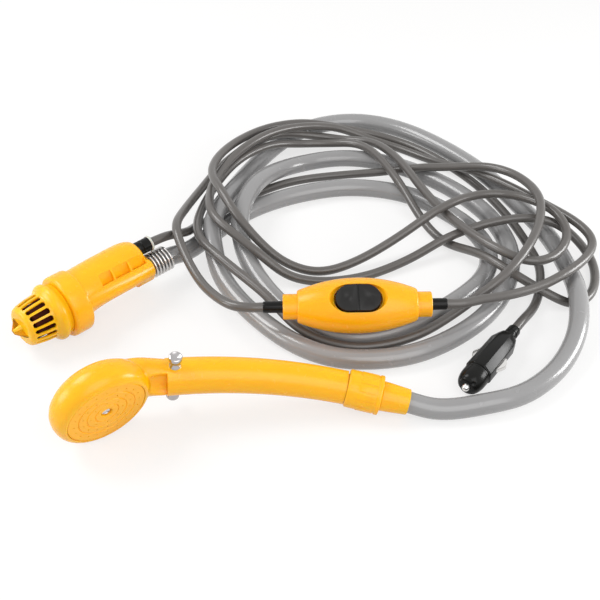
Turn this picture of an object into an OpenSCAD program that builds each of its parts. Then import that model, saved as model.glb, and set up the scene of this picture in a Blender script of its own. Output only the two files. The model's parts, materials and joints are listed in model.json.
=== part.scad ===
// Camp shower pump: a submersible pump, a hand shower, an in-line switch and a vehicle plug
// joined by one water hose and one two-part cable, laid out on the floor as stored.
// Millimetres. +X runs along the handset, +Y away from the viewer, +Z up, floor at z = 0.

/* [Pump] */
// Strainer tip to rear face
pump_len = 98; // [90:1:110]
// Turn of the pump about the vertical
pump_turn = 43.5; // [30:0.5:50]
// Exposed length of the strainer cap
nose_len = 32.5; // [30:0.5:36]
// Outer radius of the slotted part of the strainer cap
cap_r = 15; // [14.4:0.1:16]
// Wall of the strainer cap
cap_wall = 1.8; // [1.4:0.1:2.2]
// Number of strainer slots
slot_count = 18; // [14:4:22]
// Width of one strainer slot
slot_w = 3.2; // [2:0.1:3.4]
// Length of one strainer slot
slot_len = 12.5; // [10:0.5:13]
// How far the strainer's star stands out
tip_h = 5.5; // [4:0.5:6]
// Radius of the collar behind the cap
collar_r = 20; // [19.4:0.1:22]
// Length of the collar
collar_len = 13; // [12:0.5:16]
// Radius of the motor housing
body_r = 15; // [14.6:0.1:16.5]
// Motor radius
motor_r = 8.2; // [7:0.1:8.6]
// Motor can length
motor_len = 27; // [22:0.5:30]
// Impeller radius
impeller_r = 10; // [9:0.1:10.3]
// Shaft radius
shaft_r = 1; // [0.8:0.1:1.5]
// Cable gland radius
gland_r = 4.7; // [4.4:0.1:4.9]
// Cable gland length behind the rear face
gland_len = 12; // [9:0.5:16]
// Outer radius of the hose spring
spring_r = 8.5; // [8:0.1:9]
// Spring wire diameter
spring_wire = 1.6; // [1.2:0.1:1.8]
// Spring length
spring_len = 17; // [14:0.5:22]

/* [Handset] */
// Head radius
head_r = 29; // [28:0.5:32]
// Head thickness
head_t = 22.5; // [20:0.5:25]
// Face plate radius
plate_r = 23.6; // [22:0.1:24]
// Handle radius at the hanger studs
handle_r1 = 10.7; // [9.8:0.1:12]
// Handle radius at the nut
handle_r2 = 9.7; // [9.2:0.1:10.5]
// Bow radius of the handle
bow_r = 300; // [240:5:400]
// Stud shank radius
stud_r = 2.2; // [1.6:0.1:2.6]
// Stud head radius
stud_head_r = 3.8; // [3.2:0.1:4.5]
// Stud head height
stud_head_h = 3.2; // [2.5:0.1:4.5]
// How far each stud stands out
stud_out = 9.5; // [8:0.1:12]
// Coupling nut radius
nut_r = 11; // [10.6:0.1:12.5]
// Coupling nut length
nut_len = 20; // [18:0.5:24]
// Hose sleeve length outside the nut
sleeve_len = 16; // [12:0.5:22]
// Handset turn about its length
hand_roll = 13; // [5:0.5:20]
// Handset slope towards the hose
hand_pitch = 7.6; // [6:0.1:9]
// Height of the stud axis over the floor
hand_z = 27.6; // [26:0.05:32]

/* [Switch] */
// Length between the end collars
sw_len = 72.6; // [66:0.5:80]
// Width of the switch body
sw_w = 34.4; // [33:0.1:38]
// Height of the switch body
sw_h = 30; // [29:0.5:33]
// Roll of the switch towards the viewer
sw_roll = 29; // [0:1:35]
// Height of the switch axis over the floor
sw_z = 28.4; // [28:0.1:34]
// End collar length
sw_collar = 8.6; // [6:0.2:11]
// Rocker length
rocker_l = 27; // [24:0.5:30]
// Rocker width
rocker_w = 16.6; // [15:0.1:18]
// Rocker pin radius
pin_r = 1.2; // [1:0.1:1.6]
// Relief radius
relief_r = 3.7; // [3.4:0.1:4.2]
// Left relief length
relief_l = 12; // [9:0.5:16]
// Right relief length
relief_rt = 9.5; // [7:0.5:14]

/* [Plug] */
// Plug radius across flats
plug_r = 8.2; // [8.15:0.05:9]
// Plug length, tip to relief end
plug_len = 64.5; // [62:0.5:72]
// Plug nose length
nose2_len = 13; // [12:0.5:15]
// Tip contact radius
tip_r = 2.4; // [2:0.1:2.8]
// Tip travel
tip_go = 2.5; // [1.5:0.1:2.8]
// Fuse radius
fuse_r = 3.1; // [2.5:0.1:3.2]
// Side contact width
side_w = 3; // [2.4:0.1:3.6]
// How far each side contact stands out of the plug
side_out = 2.8; // [2.4:0.1:3.2]
// Plug relief radius
prelief_r = 4.2; // [3.6:0.1:5]

/* [Cords] */
// Hose diameter
hose_d = 12.5; // [11.5:0.1:12.6]
// Cable diameter
cable_d = 6; // [5:0.1:6.1]

/* [Fits] */
// Radial clearance of turning and sliding parts
run_gap = 0.06; // [0.03:0.01:0.1]
// Axial clearance of turning and sliding parts
end_gap = 0.25; // [0.15:0.01:0.4]

/* [Hidden] */
// Shift that brings the pump and handset over the origin
lay = [0.991, -12.38, 0];
// Smoothness of round solids
$fn = 64;
hose_r = hose_d / 2;
cable_r = cable_d / 2;
pump_at = [-116.6, 16, collar_r];
hand_at = [-15.6, -32.4, hand_z];
hand_turn = [hand_roll, hand_pitch, 1.5];
sw_at = [89.5, 31, sw_z];
sw_turn = 1.7;
plug_at = [149.9, -20.6, plug_r];
plug_turn = 54.5;

// Pump layout along its axis
skirt_r = cap_r - 1;
bead_r = cap_r + 3.5;
x_bead = nose_len - 6;
x_col = nose_len + end_gap;
x_body = nose_len + collar_len;
x_inlet = nose_len + 6;
x_ring = x_inlet - end_gap - 2.5;
x_room = x_inlet + 2;
x_imp = x_room + 1.5;
x_seal = x_imp + 6.5;
x_motor = x_seal + 3;
x_mend = x_motor + motor_len;
motor_y = 3.6;
motor_z = 3.6;
room_r = impeller_r + 2;
duct_y = -8.5;
duct_z = 2.2;
duct_r = 2.6;
out_y = -3;
out_z = -2;
gland_y = 2.5;
gland_z = 10.8;
x_rear = pump_len - 3.5;
barb_r = 4.4;
x_turn = pump_len - 7;

// Handset layout
nut_x = 108;
bow_x = 53;
nut_y = bow(nut_x);
nut_a = -asin((nut_x - bow_x) / bow_r);
thread_r = handle_r2 - 1.5;
neck_r = thread_r - 1.2;
lip_x = nut_len / 2 - 4;
sleeve_x = nut_len / 2 + end_gap;
face_c = [-34.2, -24.4, 0];
face_turn = 34;
stud_in = 5;

// Plug layout
x_tube = nose2_len + 3;
x_rel = plug_len - 10;
x_cav = x_rel - 16;
side_x = 25;
side_l = 12;

function bow(x) = 7 - (x - bow_x) * (x - bow_x) / (2 * bow_r);
function unit(v) = v / norm(v);
function pump_pt(p) = pump_at + turn_z(p, pump_turn);
function plug_pt(p) = plug_at + turn_z(p, plug_turn);
function sw_pt(p) = sw_at + turn_z(p, sw_turn);
function turn_z(p, a) = [p[0] * cos(a) - p[1] * sin(a), p[0] * sin(a) + p[1] * cos(a), p[2]];
function turn_y(p, a) = [p[0] * cos(a) + p[2] * sin(a), p[1], p[2] * cos(a) - p[0] * sin(a)];
function turn_x(p, a) = [p[0], p[1] * cos(a) - p[2] * sin(a), p[1] * sin(a) + p[2] * cos(a)];
function hand_dir(p) = turn_z(turn_y(turn_x(p, hand_turn[0]), hand_turn[1]), hand_turn[2]);
function nut_pt(x) = hand_at + hand_dir([nut_x, nut_y, 0] + turn_z([x, 0, 0], nut_a));

// Cord ends and the directions in which they leave
hose_out = pump_pt([pump_len, out_y, out_z]);
hose_end = nut_pt(sleeve_x + sleeve_len);
gland_out = pump_pt([x_rear + gland_len, gland_y, gland_z]);
sw_left = sw_pt([-sw_len / 2 - sw_collar - relief_l, 0, 0]);
sw_right = sw_pt([sw_len / 2 + sw_collar + relief_rt, 0, 0]);
plug_out = plug_pt([plug_len, 0, 0]);
pump_dir = turn_z([1, 0, 0], pump_turn);
nut_dir = unit(nut_pt(10) - nut_pt(0));
sw_dir = turn_z([1, 0, 0], sw_turn);
plug_dir = turn_z([1, 0, 0], plug_turn);

// Hose route: x, y and the height of its underside
hose_pump_pts = [[-20, 106, 6], [-9, 126, 1.5], [8, 150, 0]];
hose_coil_pts = [[28, 168, 0], [55, 182, 0], [85, 190, 0], [113, 188, 0], [138, 178, 0], [161, 157, 0],
    [177, 133, 0], [182, 108, 0], [174, 83, 0], [153, 60, 0], [131, 43, 0], [107, 31, 0], [85, 28, 0],
    [62, 37, 0], [43, 58, 0], [28, 81, 3], [18, 105, 7], [14, 130, 12], [17, 154, 14.5], [26, 182, 12],
    [42, 209, 4], [64, 225, 0], [92, 230, 0], [123, 222, 0], [151, 203, 0], [175, 177, 0], [191, 147, 0],
    [197, 113, 0], [190, 79, 0], [173, 49, 0], [150, 27, 0], [124, 12, 0], [97, 7, 0], [72, 10, 0],
    [47, 25, 0], [23, 52, 0], [5, 79, 4], [-2, 103, 11], [-4, 127, 15.5], [1, 149, 14], [7, 173, 9],
    [16, 206, 2], [31, 238, 0], [52, 266, 0], [78, 281, 0], [107, 283, 0], [137, 270, 0], [166, 243, 0],
    [192, 208, 0], [211, 168, 0]];
hose_hand_pts = [[226, 130, 0], [231, 95, 2], [231, 60, 7.5], [225, 28, 4], [210, 1, 0], [187, -21, 0],
    [161, -31, 1]];
// Cable route, pump to switch
cable_pump_pts = [[-21, 119, 15.5], [-16, 138, 7], [-7, 155, 1]];
coil_a_pts = [[10, 175, 0], [31, 193, 0], [55, 205, 0], [85, 210, 1], [115, 208, 5], [140, 203, 12],
    [165, 198, 16], [190, 190, 21.5], [208, 173, 25], [217, 144, 29.5], [215, 120, 29], [207, 97, 29],
    [195, 76, 27], [180, 60, 22], [165, 51, 15], [147, 40, 8], [127, 27, 5], [102, 18, 4], [78, 18.5, 4.5],
    [54, 31, 7], [35, 53, 14], [16, 72, 18], [2, 86, 21], [-10, 102, 21.5], [-14, 122, 19.5],
        [-13, 148, 14],
    [-5, 178, 14], [10, 206, 17], [32, 227, 16.5], [54, 240, 9.5], [78, 243, 8], [104, 231, 13.5],
    [124, 188, 14], [140, 150, 4], [155, 126, 1], [174, 97, 14], [191, 76, 15], [210, 66, 8], [230, 62, 0],
    [244, 73, 0], [251, 96, 0], [248, 116, 3], [231, 128, 15], [208, 132, 18], [181, 129, 15],
        [154, 121, 9],
    [129, 107, 2], [99, 91, 0], [72, 85, 0], [48, 86, 4], [29, 93, 16.5], [13, 104, 24], [0, 116, 28],
    [-6, 132, 29], [-6, 157, 26.5], [0, 183, 24.5], [14, 210, 25], [34, 233, 24], [58, 250, 19],
    [84, 261, 11], [108, 260, 2], [133, 248, 0], [157, 227, 2], [182, 199, 12], [205, 174, 15],
    [225, 147, 18], [241, 124, 20], [248, 106, 19], [242, 90, 18], [227, 73, 19], [206, 58, 18.5],
    [184, 45.5, 21.5], [166, 38.5, 24]];
// Cable route, switch to plug
coil_b_pts = [[13, 32.5, 24.5], [2, 45, 22], [-8, 61, 20.5], [-18, 81, 24], [-26, 103, 31.3],
    [-23, 131, 25],
    [-15, 167, 17], [-3, 198, 16], [15, 223, 17.5], [38, 245, 15], [64, 253, 9], [88, 252, 6],
        [111, 238, 12],
    [127, 208, 16.5], [140, 176, 15], [152, 147, 15], [164, 120, 19], [181, 94, 22], [202, 80, 21],
    [221, 89, 19], [232, 109, 21], [228, 130, 23.5], [214, 147, 22.5], [196, 157, 20.5], [174, 153, 21.5],
    [150, 137, 22], [123, 121, 11], [94, 104, 3], [68, 94, 1], [45, 98, 6], [27, 108, 17], [12, 122, 29],
    [1, 142, 35], [-6, 163, 33.5], [-4, 188, 30], [8, 218, 25], [30, 246, 20], [58, 263, 14.5],
    [86, 268, 7], [110, 267, 2], [133, 258, 0], [157, 237, 0], [180, 207, 0], [194, 180, 0], [205, 150, 0],
    [212, 121, 0]];
cable_plug_pts = [[215, 100, 0], [211, 77, 0], [204, 58, 1]];

// Whole routes as centre lines
hose_line = concat([hose_out, hose_out + 18 * pump_dir - [0, 0, 0.5]], raise(hose_pump_pts, hose_r),
    raise(hose_coil_pts, hose_r), raise(hose_hand_pts, hose_r), [hose_end + 19 * nut_dir, hose_end]);
line_a = concat([gland_out, gland_out + 14 * pump_dir - [0, 0, 1.5]], raise(cable_pump_pts, cable_r),
    raise(coil_a_pts, cable_r), [sw_right + 10 * sw_dir, sw_right]);
line_b = concat([sw_left, sw_left - 9 * sw_dir], raise(coil_b_pts, cable_r),
    raise(cable_plug_pts, cable_r), [plug_out + 11 * plug_dir, plug_out]);
hose_steps = 2;
cable_steps = 3;
hose_path = smooth(hose_line, hose_steps, hose_r);
path_a = smooth(line_a, cable_steps, cable_r);
path_b = smooth(line_b, cable_steps, cable_r);
hose_cut1 = (2 + len(hose_pump_pts) - 1) * hose_steps;
hose_cut2 = (2 + len(hose_pump_pts) + len(hose_coil_pts)) * hose_steps;
cut_a = (2 + len(cable_pump_pts) - 1) * cable_steps;
cut_b = (2 + len(coil_b_pts) - 1) * cable_steps;
hose_rings = tube_rings(hose_path, hose_r, 8, pump_dir, -nut_dir);
rings_a = tube_rings(path_a, cable_r, 6, pump_dir, -sw_dir);
rings_b = tube_rings(path_b, cable_r, 6, -sw_dir, -plug_dir);

function raise(P, r) = [for (p = P) [p[0], p[1], p[2] + r]];
function cr(a, b, c, d, t) = 0.5 * (2 * b + (c - a) * t + (2 * a - 5 * b + 4 * c - d) * t * t
    + (3 * b - a - 3 * c + d) * t * t * t);
function at_end(P, i) = i < 0 ? 2 * P[0] - P[1] : i >= len(P) ? 2 * P[len(P) - 1] - P[len(P) - 2] : P[i];
function floor_at(p, r) = [p[0], p[1], max(p[2], r)];
function smooth(P, n, r) = concat([for (i = [0:len(P) - 2]) for (k = [0:n - 1])
    floor_at(cr(at_end(P, i - 1), P[i], P[i + 1], at_end(P, i + 2), k / n), r)], [P[len(P) - 1]]);
function ring_at(p, t, r, n) = let (s = unit(cross([0, 0, 1], t)), u = cross(t, s))
    [for (i = [0:n - 1]) p + r * (cos(360 * i / n) * s + sin(360 * i / n) * u)];
function tube_rings(P, r, n, t0, t1) = [for (i = [0:len(P) - 1])
    ring_at(P[i], i == 0 ? t0 : i == len(P) - 1 ? t1 : unit(P[i + 1] - P[i - 1]), r, n)];
function part_of(L, a, b) = [for (i = [a:b]) L[i]];
function oval(s, n) = [for (i = [0:n - 1]) [s[0], s[1] + s[3] * cos(360 * i / n),
    s[2] + s[4] * sin(360 * i / n)]];
function bent(x, r, n) = let (a = -asin((x - bow_x) / bow_r)) [for (i = [0:n - 1])
    [x - r * cos(360 * i / n) * sin(a), bow(x) + r * cos(360 * i / n) * cos(a), r * sin(360 * i / n)]];
function least(P, r, skip) = min([for (i = [0:len(P) - 1 - skip]) for (j = [i + skip:len(P) - 1])
    norm(P[i] - P[j])]) - 2 * r;

module skin(rings) {
    n = len(rings[0]);
    m = len(rings);
    pts = [for (r = rings) each r];
    one = [for (j = [0:m - 2]) for (i = [0:n - 1]) [j * n + i, (j + 1) * n + i, (j + 1) * n + (i + 1) % n]];
    two = [for (j = [0:m - 2]) for (i = [0:n - 1]) [j * n + i, (j + 1) * n + (i + 1) % n,
        j * n + (i + 1) % n]];
    low = [[for (i = [0:n - 1]) i]];
    high = [[for (i = [n - 1:-1:0]) (m - 1) * n + i]];
    polyhedron(points = pts, faces = concat(low, one, two, high));
}

module in_pump() translate(lay + pump_at) rotate([0, 0, pump_turn]) children();
module in_hand() translate(lay + hand_at) rotate(hand_turn) children();
module in_nut() in_hand() translate([nut_x, nut_y, 0]) rotate([0, 0, nut_a]) children();
module in_face() in_hand() translate(face_c) rotate([0, 0, face_turn]) rotate([90, 0, 0]) children();
module in_switch() translate(lay + sw_at) rotate([sw_roll, 0, sw_turn]) children();
module in_plug() translate(lay + plug_at) rotate([0, 0, plug_turn]) children();

// Cylinder along +X from x = a to x = b
module rod(r, a, b, y = 0, z = 0) translate([a, y, z]) rotate([0, 90, 0]) cylinder(r = r, h = b - a);
module cone(r1, r2, a, b) translate([a, 0, 0]) rotate([0, 90, 0]) cylinder(r1 = r1, r2 = r2, h = b - a);
// Turned solid along +X, profile points are [radius, x]
module turned(P) rotate([0, 90, 0]) rotate_extrude() polygon(P);

// Pump
module strainer_cap() color([0.96, 0.68, 0.12]) in_pump() {
    difference() {
        turned([[0, tip_h], [cap_r - 5.5, tip_h], [cap_r - 3.6, tip_h + 0.6], [cap_r - 2.4, tip_h + 2],
            [cap_r - 1.7, tip_h + 4.5], [cap_r - 0.7, tip_h + 10], [cap_r, x_bead - 4], [cap_r + 1.6, x_bead - 2.6],
            [bead_r - 0.2, x_bead - 0.8], [bead_r, x_bead + 0.5], [bead_r - 0.6, x_bead + 2.4],
            [bead_r - 1.7, x_bead + 4.4], [bead_r - 2, nose_len], [skirt_r - run_gap, nose_len],
            [skirt_r - run_gap, x_ring - 0.1], [skirt_r - 1.2, x_ring - 0.1], [skirt_r - 1.2, x_ring + 1.5],
            [skirt_r - run_gap, x_ring + 1.5], [skirt_r - run_gap, x_inlet - end_gap],
            [skirt_r - 3.2, x_inlet - end_gap], [skirt_r - 3.2, nose_len - 2],
            [cap_r - cap_wall, nose_len - 4.6], [cap_r - 0.7 - cap_wall, tip_h + 10],
            [cap_r - 1.7 - cap_wall, tip_h + 4.8], [cap_r - 5, tip_h + 2.9], [cap_r - 5.5, tip_h + 1.9],
            [0, tip_h + 1.9]]);
        for (i = [0:slot_count - 1])
            rotate([360 * (i + 0.5) / slot_count, 0, 0])
                translate([tip_h + 3.4, cap_r - 7.5, -slot_w / 2])
                    cube([slot_len, 12, slot_w]);
    }
    for (a = [20, 110])
        rotate([a, 0, 0])
            translate([0, 0, -0.8])
                linear_extrude(1.6)
                    polygon([[0, -1.4], [0, 1.4], [tip_h + 0.5, cap_r - 6.4], [tip_h + 0.5, 6.4 - cap_r]]);
}

module cap_o_ring() color([0.1, 0.1, 0.1]) in_pump()
    translate([x_ring, 0, 0])
        rotate([0, 90, 0])
            difference() {
                cylinder(r = skirt_r - run_gap / 2, h = 1.4);
                translate([0, 0, -1])
                    cylinder(r = skirt_r - 1.15, h = 4);
            }

module pump_body() color([0.96, 0.66, 0.1]) in_pump() {
    difference() {
        union() {
            turned([[0, x_col], [collar_r - 1.5, x_col], [collar_r, x_col + 1.5], [collar_r, x_body - 1.2],
                [collar_r - 1.2, x_body], [0, x_body]]);
            skin([for (s = [[x_body - 1, 1.6, 1.08], [x_body + 6, 2.2, 1.013], [x_body + 18, 2.8, 1],
                [x_rear - 10, 2.9, 1], [x_rear - 4, 2.9, 0.953], [x_rear, 2.8, 0.827]])
                oval([s[0], s[1], s[1], body_r * s[2], body_r * s[2]], 48)]);
            rod(6.5, x_body - 1, pump_len - 1.5, duct_y, duct_z);
            rod(spring_r + 0.2, x_rear - 8, pump_len, out_y, out_z);
            rod(barb_r, pump_len - 2, pump_len + 15, out_y, out_z);
        }
        rod(skirt_r, nose_len - 1, x_room, 0, 0);
        rod(room_r, x_inlet, x_motor, motor_y, motor_z);
        rod(motor_r, x_motor - 1, x_mend + 3, motor_y, motor_z);
        rod(duct_r, x_imp, x_turn + 1, duct_y, duct_z);
        rod(duct_r, x_turn - duct_r, pump_len + 16, out_y, out_z);
        translate([x_turn - 1, duct_y, duct_z])
            rotate([-atan2(duct_z - out_z, out_y - duct_y) - 90, 0, 0])
                cylinder(r = duct_r - 0.4, h = norm([out_y - duct_y, out_z - duct_z]));
        rod(2, x_mend + 2, x_rear + 1, gland_y, gland_z);
        rod(gland_r - 1, x_rear - 5, x_rear + 1, gland_y, gland_z);
        for (s = [[x_body + 13.5, x_body + 22.5], [x_body + 23.7, x_body + 35], [x_body + 36.2, x_rear - 1.4]])
            translate([s[0], 2.8, 2.8])
                rotate([144, 0, 0])
                    rotate([90, 0, 90])
                        linear_extrude(s[1] - s[0])
                            polygon([[body_r + 4, -4.4], [body_r - 0.7, -4.4], [body_r - 4.2, 3.2],
                                [body_r + 4, 3.2]]);
    }
}

module inlet_plate() color([0.12, 0.1, 0.08]) in_pump()
    difference() {
        union() {
            rod(skirt_r, x_inlet, x_room, 0, 0);
            rod(skirt_r - 3.6, tip_h + 6, x_inlet + 1, 0, 0);
        }
        rod(skirt_r - 6.6, tip_h + 5, x_inlet + 0.8, 0, 0);
        rod(4.5, x_inlet + 0.4, x_room + 1, motor_y, motor_z);
    }

module impeller() color([0.85, 0.85, 0.82]) in_pump() {
    difference() {
        union() {
            rod(impeller_r, x_imp + 3.6, x_imp + 4.8, motor_y, motor_z);
            rod(shaft_r + 1.4, x_imp, x_imp + 4.8, motor_y, motor_z);
            for (i = [0:5])
                translate([x_imp + 0.4, motor_y, motor_z])
                    rotate([60 * i, 0, 0])
                        translate([0, 1.6, -0.5])
                            cube([3.6, impeller_r - 2.4, 1]);
        }
        rod(shaft_r, x_imp + 1, x_imp + 6, motor_y, motor_z);
    }
}

module motor_shaft() color([0.75, 0.75, 0.77]) in_pump()
    rod(shaft_r, x_imp + 1, x_motor + motor_len - 2, motor_y, motor_z);

module seal_plate() color([0.85, 0.85, 0.82]) in_pump()
    difference() {
        rod(room_r, x_seal, x_motor, motor_y, motor_z);
        rod(shaft_r + 2.5, x_seal + 0.8, x_motor + 1, motor_y, motor_z);
        rod(shaft_r + run_gap, x_seal - 1, x_motor + 1, motor_y, motor_z);
    }

module shaft_seal() color([0.1, 0.1, 0.1]) in_pump()
    difference() {
        rod(shaft_r + 2.5, x_seal + 0.8, x_motor, motor_y, motor_z);
        rod(shaft_r + run_gap, x_seal, x_motor + 1, motor_y, motor_z);
    }

module motor_can() color([0.75, 0.75, 0.77]) in_pump()
    difference() {
        rod(motor_r, x_motor, x_mend, motor_y, motor_z);
        rod(shaft_r + run_gap, x_motor - 1, x_mend - 1, motor_y, motor_z);
    }

module motor_end_cap() color([0.15, 0.15, 0.15]) in_pump()
    rod(motor_r, x_mend, x_mend + 2.5, motor_y, motor_z);

module cable_gland() color([0.05, 0.05, 0.05]) in_pump() {
    rod(gland_r, x_rear, x_rear + gland_len, gland_y, gland_z);
    rod(gland_r - 1, x_rear - 5, x_rear + 1, gland_y, gland_z);
}

module gland_ring() color([0.8, 0.8, 0.8]) in_pump()
    difference() {
        rod(gland_r + 0.5, x_rear + gland_len - 2.4, x_rear + gland_len - 1, gland_y, gland_z);
        rod(gland_r, x_rear + gland_len - 3, x_rear + gland_len, gland_y, gland_z);
    }

spring_turns = 5.5;
spring_m = spring_r - spring_wire / 2;
spring_pts = concat([[0, spring_a(0)[1], spring_a(0)[2]]], [for (i = [0:8 * spring_turns]) spring_a(i)],
    [[spring_len, spring_a(8 * spring_turns)[1], spring_a(8 * spring_turns)[2]]]);
function spring_a(i) = [spring_wire + (spring_len - 2 * spring_wire) * i / (8 * spring_turns),
    spring_m * cos(45 * i + 60), spring_m * sin(45 * i + 60)];
function spring_ring(i) = let (p = spring_pts[i], last = len(spring_pts) - 1,
    t = i == 0 || i == last ? [1, 0, 0] : unit(spring_pts[i + 1] - spring_pts[i - 1]),
    s = unit(cross([0, p[1], p[2]], t)), u = cross(t, s))
    [for (k = [0:5]) p + spring_wire / 2 * (cos(60 * k) * s + sin(60 * k) * u)];

module hose_spring() color([0.75, 0.75, 0.77]) in_pump()
    translate([pump_len, out_y, out_z])
        skin([for (i = [0:len(spring_pts) - 1]) spring_ring(i)]);

// Handset
module handset_body() color([0.96, 0.68, 0.12]) {
    difference() {
        union() {
            in_hand() skin([for (s = [[-40, -13, 7, 20], [-34, -8, 8.5, 20.2], [-28, -4, 9, 18.6],
                [-20, -1, 9, 15.4], [-12, 1.8, 8.4, 12.4], [-4.6, 2.9, 8, handle_r1]])
                oval([s[0], s[1], 0, s[2], s[3]], 48)]);
            in_hand() skin([for (i = [0:11]) let (x = -4.6 + (nut_x - nut_len / 2 + 4.1) * i / 11)
                bent(x, handle_r1 + (handle_r2 - handle_r1) * i / 11, 48)]);
            in_nut() rod(thread_r, -nut_len / 2 - 4, 0, 0, 0);
            in_hand() for (s = [-1, 1])
                translate([0, bow(0), 0])
                    rotate([s * 90 - 90, 0, 0])
                        cylinder(r = stud_r + 1.6, h = handle_r1 + 0.6);
            in_face() rotate_extrude()
                polygon([[0, -head_t], [11, -head_t + 0.3], [18, -head_t + 1.5], [head_r - 5.6, -head_t + 3.9],
                    [head_r - 2.2, -head_t + 7], [head_r - 0.4, -head_t + 10.5], [head_r, -7.5],
                    [head_r - 0.7, -4], [head_r - 2.2, -1.5], [head_r - 4, -0.1], [plate_r, 0], [0, 0]]);
        }
        in_face() translate([0, 0, -3])
            cylinder(r = plate_r, h = 5);
        in_face() translate([0, 0, -head_t + 5])
            cylinder(r = plate_r - 3, h = head_t);
        in_nut() rod(4.5, -62, 3, 0, 0);
        in_hand() translate([50, bow(50), 0])
            rotate([0, -90, 3])
                cylinder(r = 4.5, h = 54);
        in_hand() translate([0, bow(0), 0])
            rotate([0, -90, 18])
                cylinder(r = 4.5, h = 38);
        in_hand() for (s = [-1, 1])
            translate([0, bow(0), 0])
                rotate([s * 90 - 90, 0, 0])
                    translate([0, 0, stud_in])
                        cylinder(r = stud_r, h = 20);
    }
    in_face() difference() {
        translate([0, 0, -head_t + 4])
            cylinder(r = 3.6, h = head_t - 6.4);
        translate([0, 0, -8])
            cylinder(r = 1.5, h = 8);
    }
}

module face_plate() color([0.96, 0.7, 0.16]) in_face()
    difference() {
        rotate_extrude()
            polygon([[0, -2.4], [plate_r, -2.4], [plate_r, -0.5], [plate_r - 0.5, 0], [17.2, 0],
                [16.8, -0.5], [16.4, 0],
                [12.2, 0], [11.8, -0.5], [11.4, 0], [7.2, 0], [6.8, -0.5], [6.4, 0], [0, 0]]);
        for (r = [[9.3, 8], [14.3, 14], [19.6, 20]])
            for (i = [0:r[1] - 1])
                rotate([0, 0, 360 * i / r[1]])
                    translate([r[0], 0, -3])
                        cylinder(r = 0.55, h = 4, $fn = 16);
        translate([0, 0, -3])
            cylinder(r = 1.5, h = 4);
        translate([0, 0, -1.2])
            cylinder(r = 3.2, h = 2);
    }

module face_gasket() color([0.1, 0.1, 0.1]) in_face()
    translate([0, 0, -3])
        difference() {
            cylinder(r = plate_r, h = 0.6);
            translate([0, 0, -1])
                cylinder(r = plate_r - 3, h = 3);
        }

module face_screw() color([0.75, 0.75, 0.77]) in_face()
    difference() {
        union() {
            translate([0, 0, -1.2])
                cylinder(r = 3, h = 1.4);
            translate([0, 0, -8])
                cylinder(r = 1.5, h = 7);
        }
        for (a = [0, 90])
            rotate([0, 0, a])
                translate([-2, -0.35, -0.4])
                    cube([4, 0.7, 1]);
    }

module hanger_studs() color([0.75, 0.75, 0.77]) in_hand()
    for (s = [-1, 1])
        translate([0, bow(0), 0])
            rotate([s * 90 - 90, 0, 0]) {
                translate([0, 0, stud_in])
                    cylinder(r = stud_r, h = handle_r1 + stud_out - stud_in - 1);
                translate([0, 0, handle_r1 + stud_out - stud_head_h - 1])
                    cylinder(r = stud_head_r, h = stud_head_h);
                translate([0, 0, handle_r1 + stud_out - 1])
                    cylinder(r1 = stud_head_r, r2 = stud_head_r - 1.4, h = 1);
            }

module coupling_nut() color([0.96, 0.66, 0.1]) in_nut()
    difference() {
        union() {
            turned([[0, -nut_len / 2], [nut_r - 0.8, -nut_len / 2], [nut_r, -nut_len / 2 + 0.8],
                [nut_r, nut_len / 2 - 2],
                [nut_r + 0.5, nut_len / 2 - 2], [nut_r + 0.5, nut_len / 2 - 0.4],
                    [nut_r + 0.1, nut_len / 2], [0, nut_len / 2]]);
            for (i = [0:15])
                rotate([22.5 * i, 0, 0])
                    translate([-1, nut_r - 0.6, -0.6])
                        cube([nut_len / 2 - 0.5, 1.1, 1.2]);
        }
        rod(thread_r + run_gap, -nut_len / 2 - 1, lip_x, 0, 0);
        rod(neck_r + run_gap, 0, nut_len, 0, 0);
    }

module hose_washer() color([0.1, 0.1, 0.1]) in_nut()
    difference() {
        rod(thread_r - 0.3, 0, 1.5, 0, 0);
        rod(4.5, -1, 3, 0, 0);
    }

module hose_nipple() color([0.85, 0.85, 0.82]) in_nut()
    difference() {
        union() {
            rod(thread_r - 0.2, 1.5, lip_x - end_gap, 0, 0);
            rod(4.3, 2, sleeve_x + sleeve_len - 4, 0, 0);
        }
        rod(3, 0, sleeve_x + sleeve_len, 0, 0);
    }

module hose_sleeve() color([0.96, 0.66, 0.1]) in_nut()
    difference() {
        union() {
            rod(neck_r, lip_x - end_gap, sleeve_x + 1, 0, 0);
            turned([[0, sleeve_x], [8.3, sleeve_x], [8.6, sleeve_x + 0.6], [8.4, sleeve_x + 4],
                [7.5, sleeve_x + sleeve_len - 0.6], [7.1, sleeve_x + sleeve_len],
                    [0, sleeve_x + sleeve_len]]);
        }
        rod(4.3, 0, sleeve_x + sleeve_len - 4, 0, 0);
    }

// Switch
function sw_sec(f) = [for (s = [[-36.3, 0.55], [-35.6, 0.585], [-33, 0.645], [-27, 0.765],
    [-19, 0.885], [-10, 0.97], [0, 1],
    [10, 0.97], [19, 0.885], [27, 0.765], [33, 0.645], [35.6, 0.585], [36.3, 0.55]])
    oval([s[0] * sw_len / 72.6, 0, 0, sw_w / 2 * s[1] - f, sw_h / 2 * s[1] - f], 40)];
function end_sec(s) = [for (v = [[0.45, 0.45], [0.97, 0.455], [1, 0.43]])
    oval([s * (sw_len / 2 - 0.6 + (sw_collar + 0.6) * (v[0] - 0.45) / 0.55), 0, 0, sw_w / 2 * v[1],
        sw_h / 2 * v[1]], 40)];

seam = -1;
rock_z = 8;
well_l = rocker_l + 2.4;
well_w = rocker_w + 0.8;
screw_x = 25;

module sw_solid() {
    skin(sw_sec(0));
    skin(end_sec(1));
    skin([for (i = [2:-1:0]) end_sec(-1)[i]]);
}

module sw_hollow()
    intersection() {
        skin(sw_sec(2));
        cube([2 * screw_x + 14, 80, 80], center = true);
    }

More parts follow.
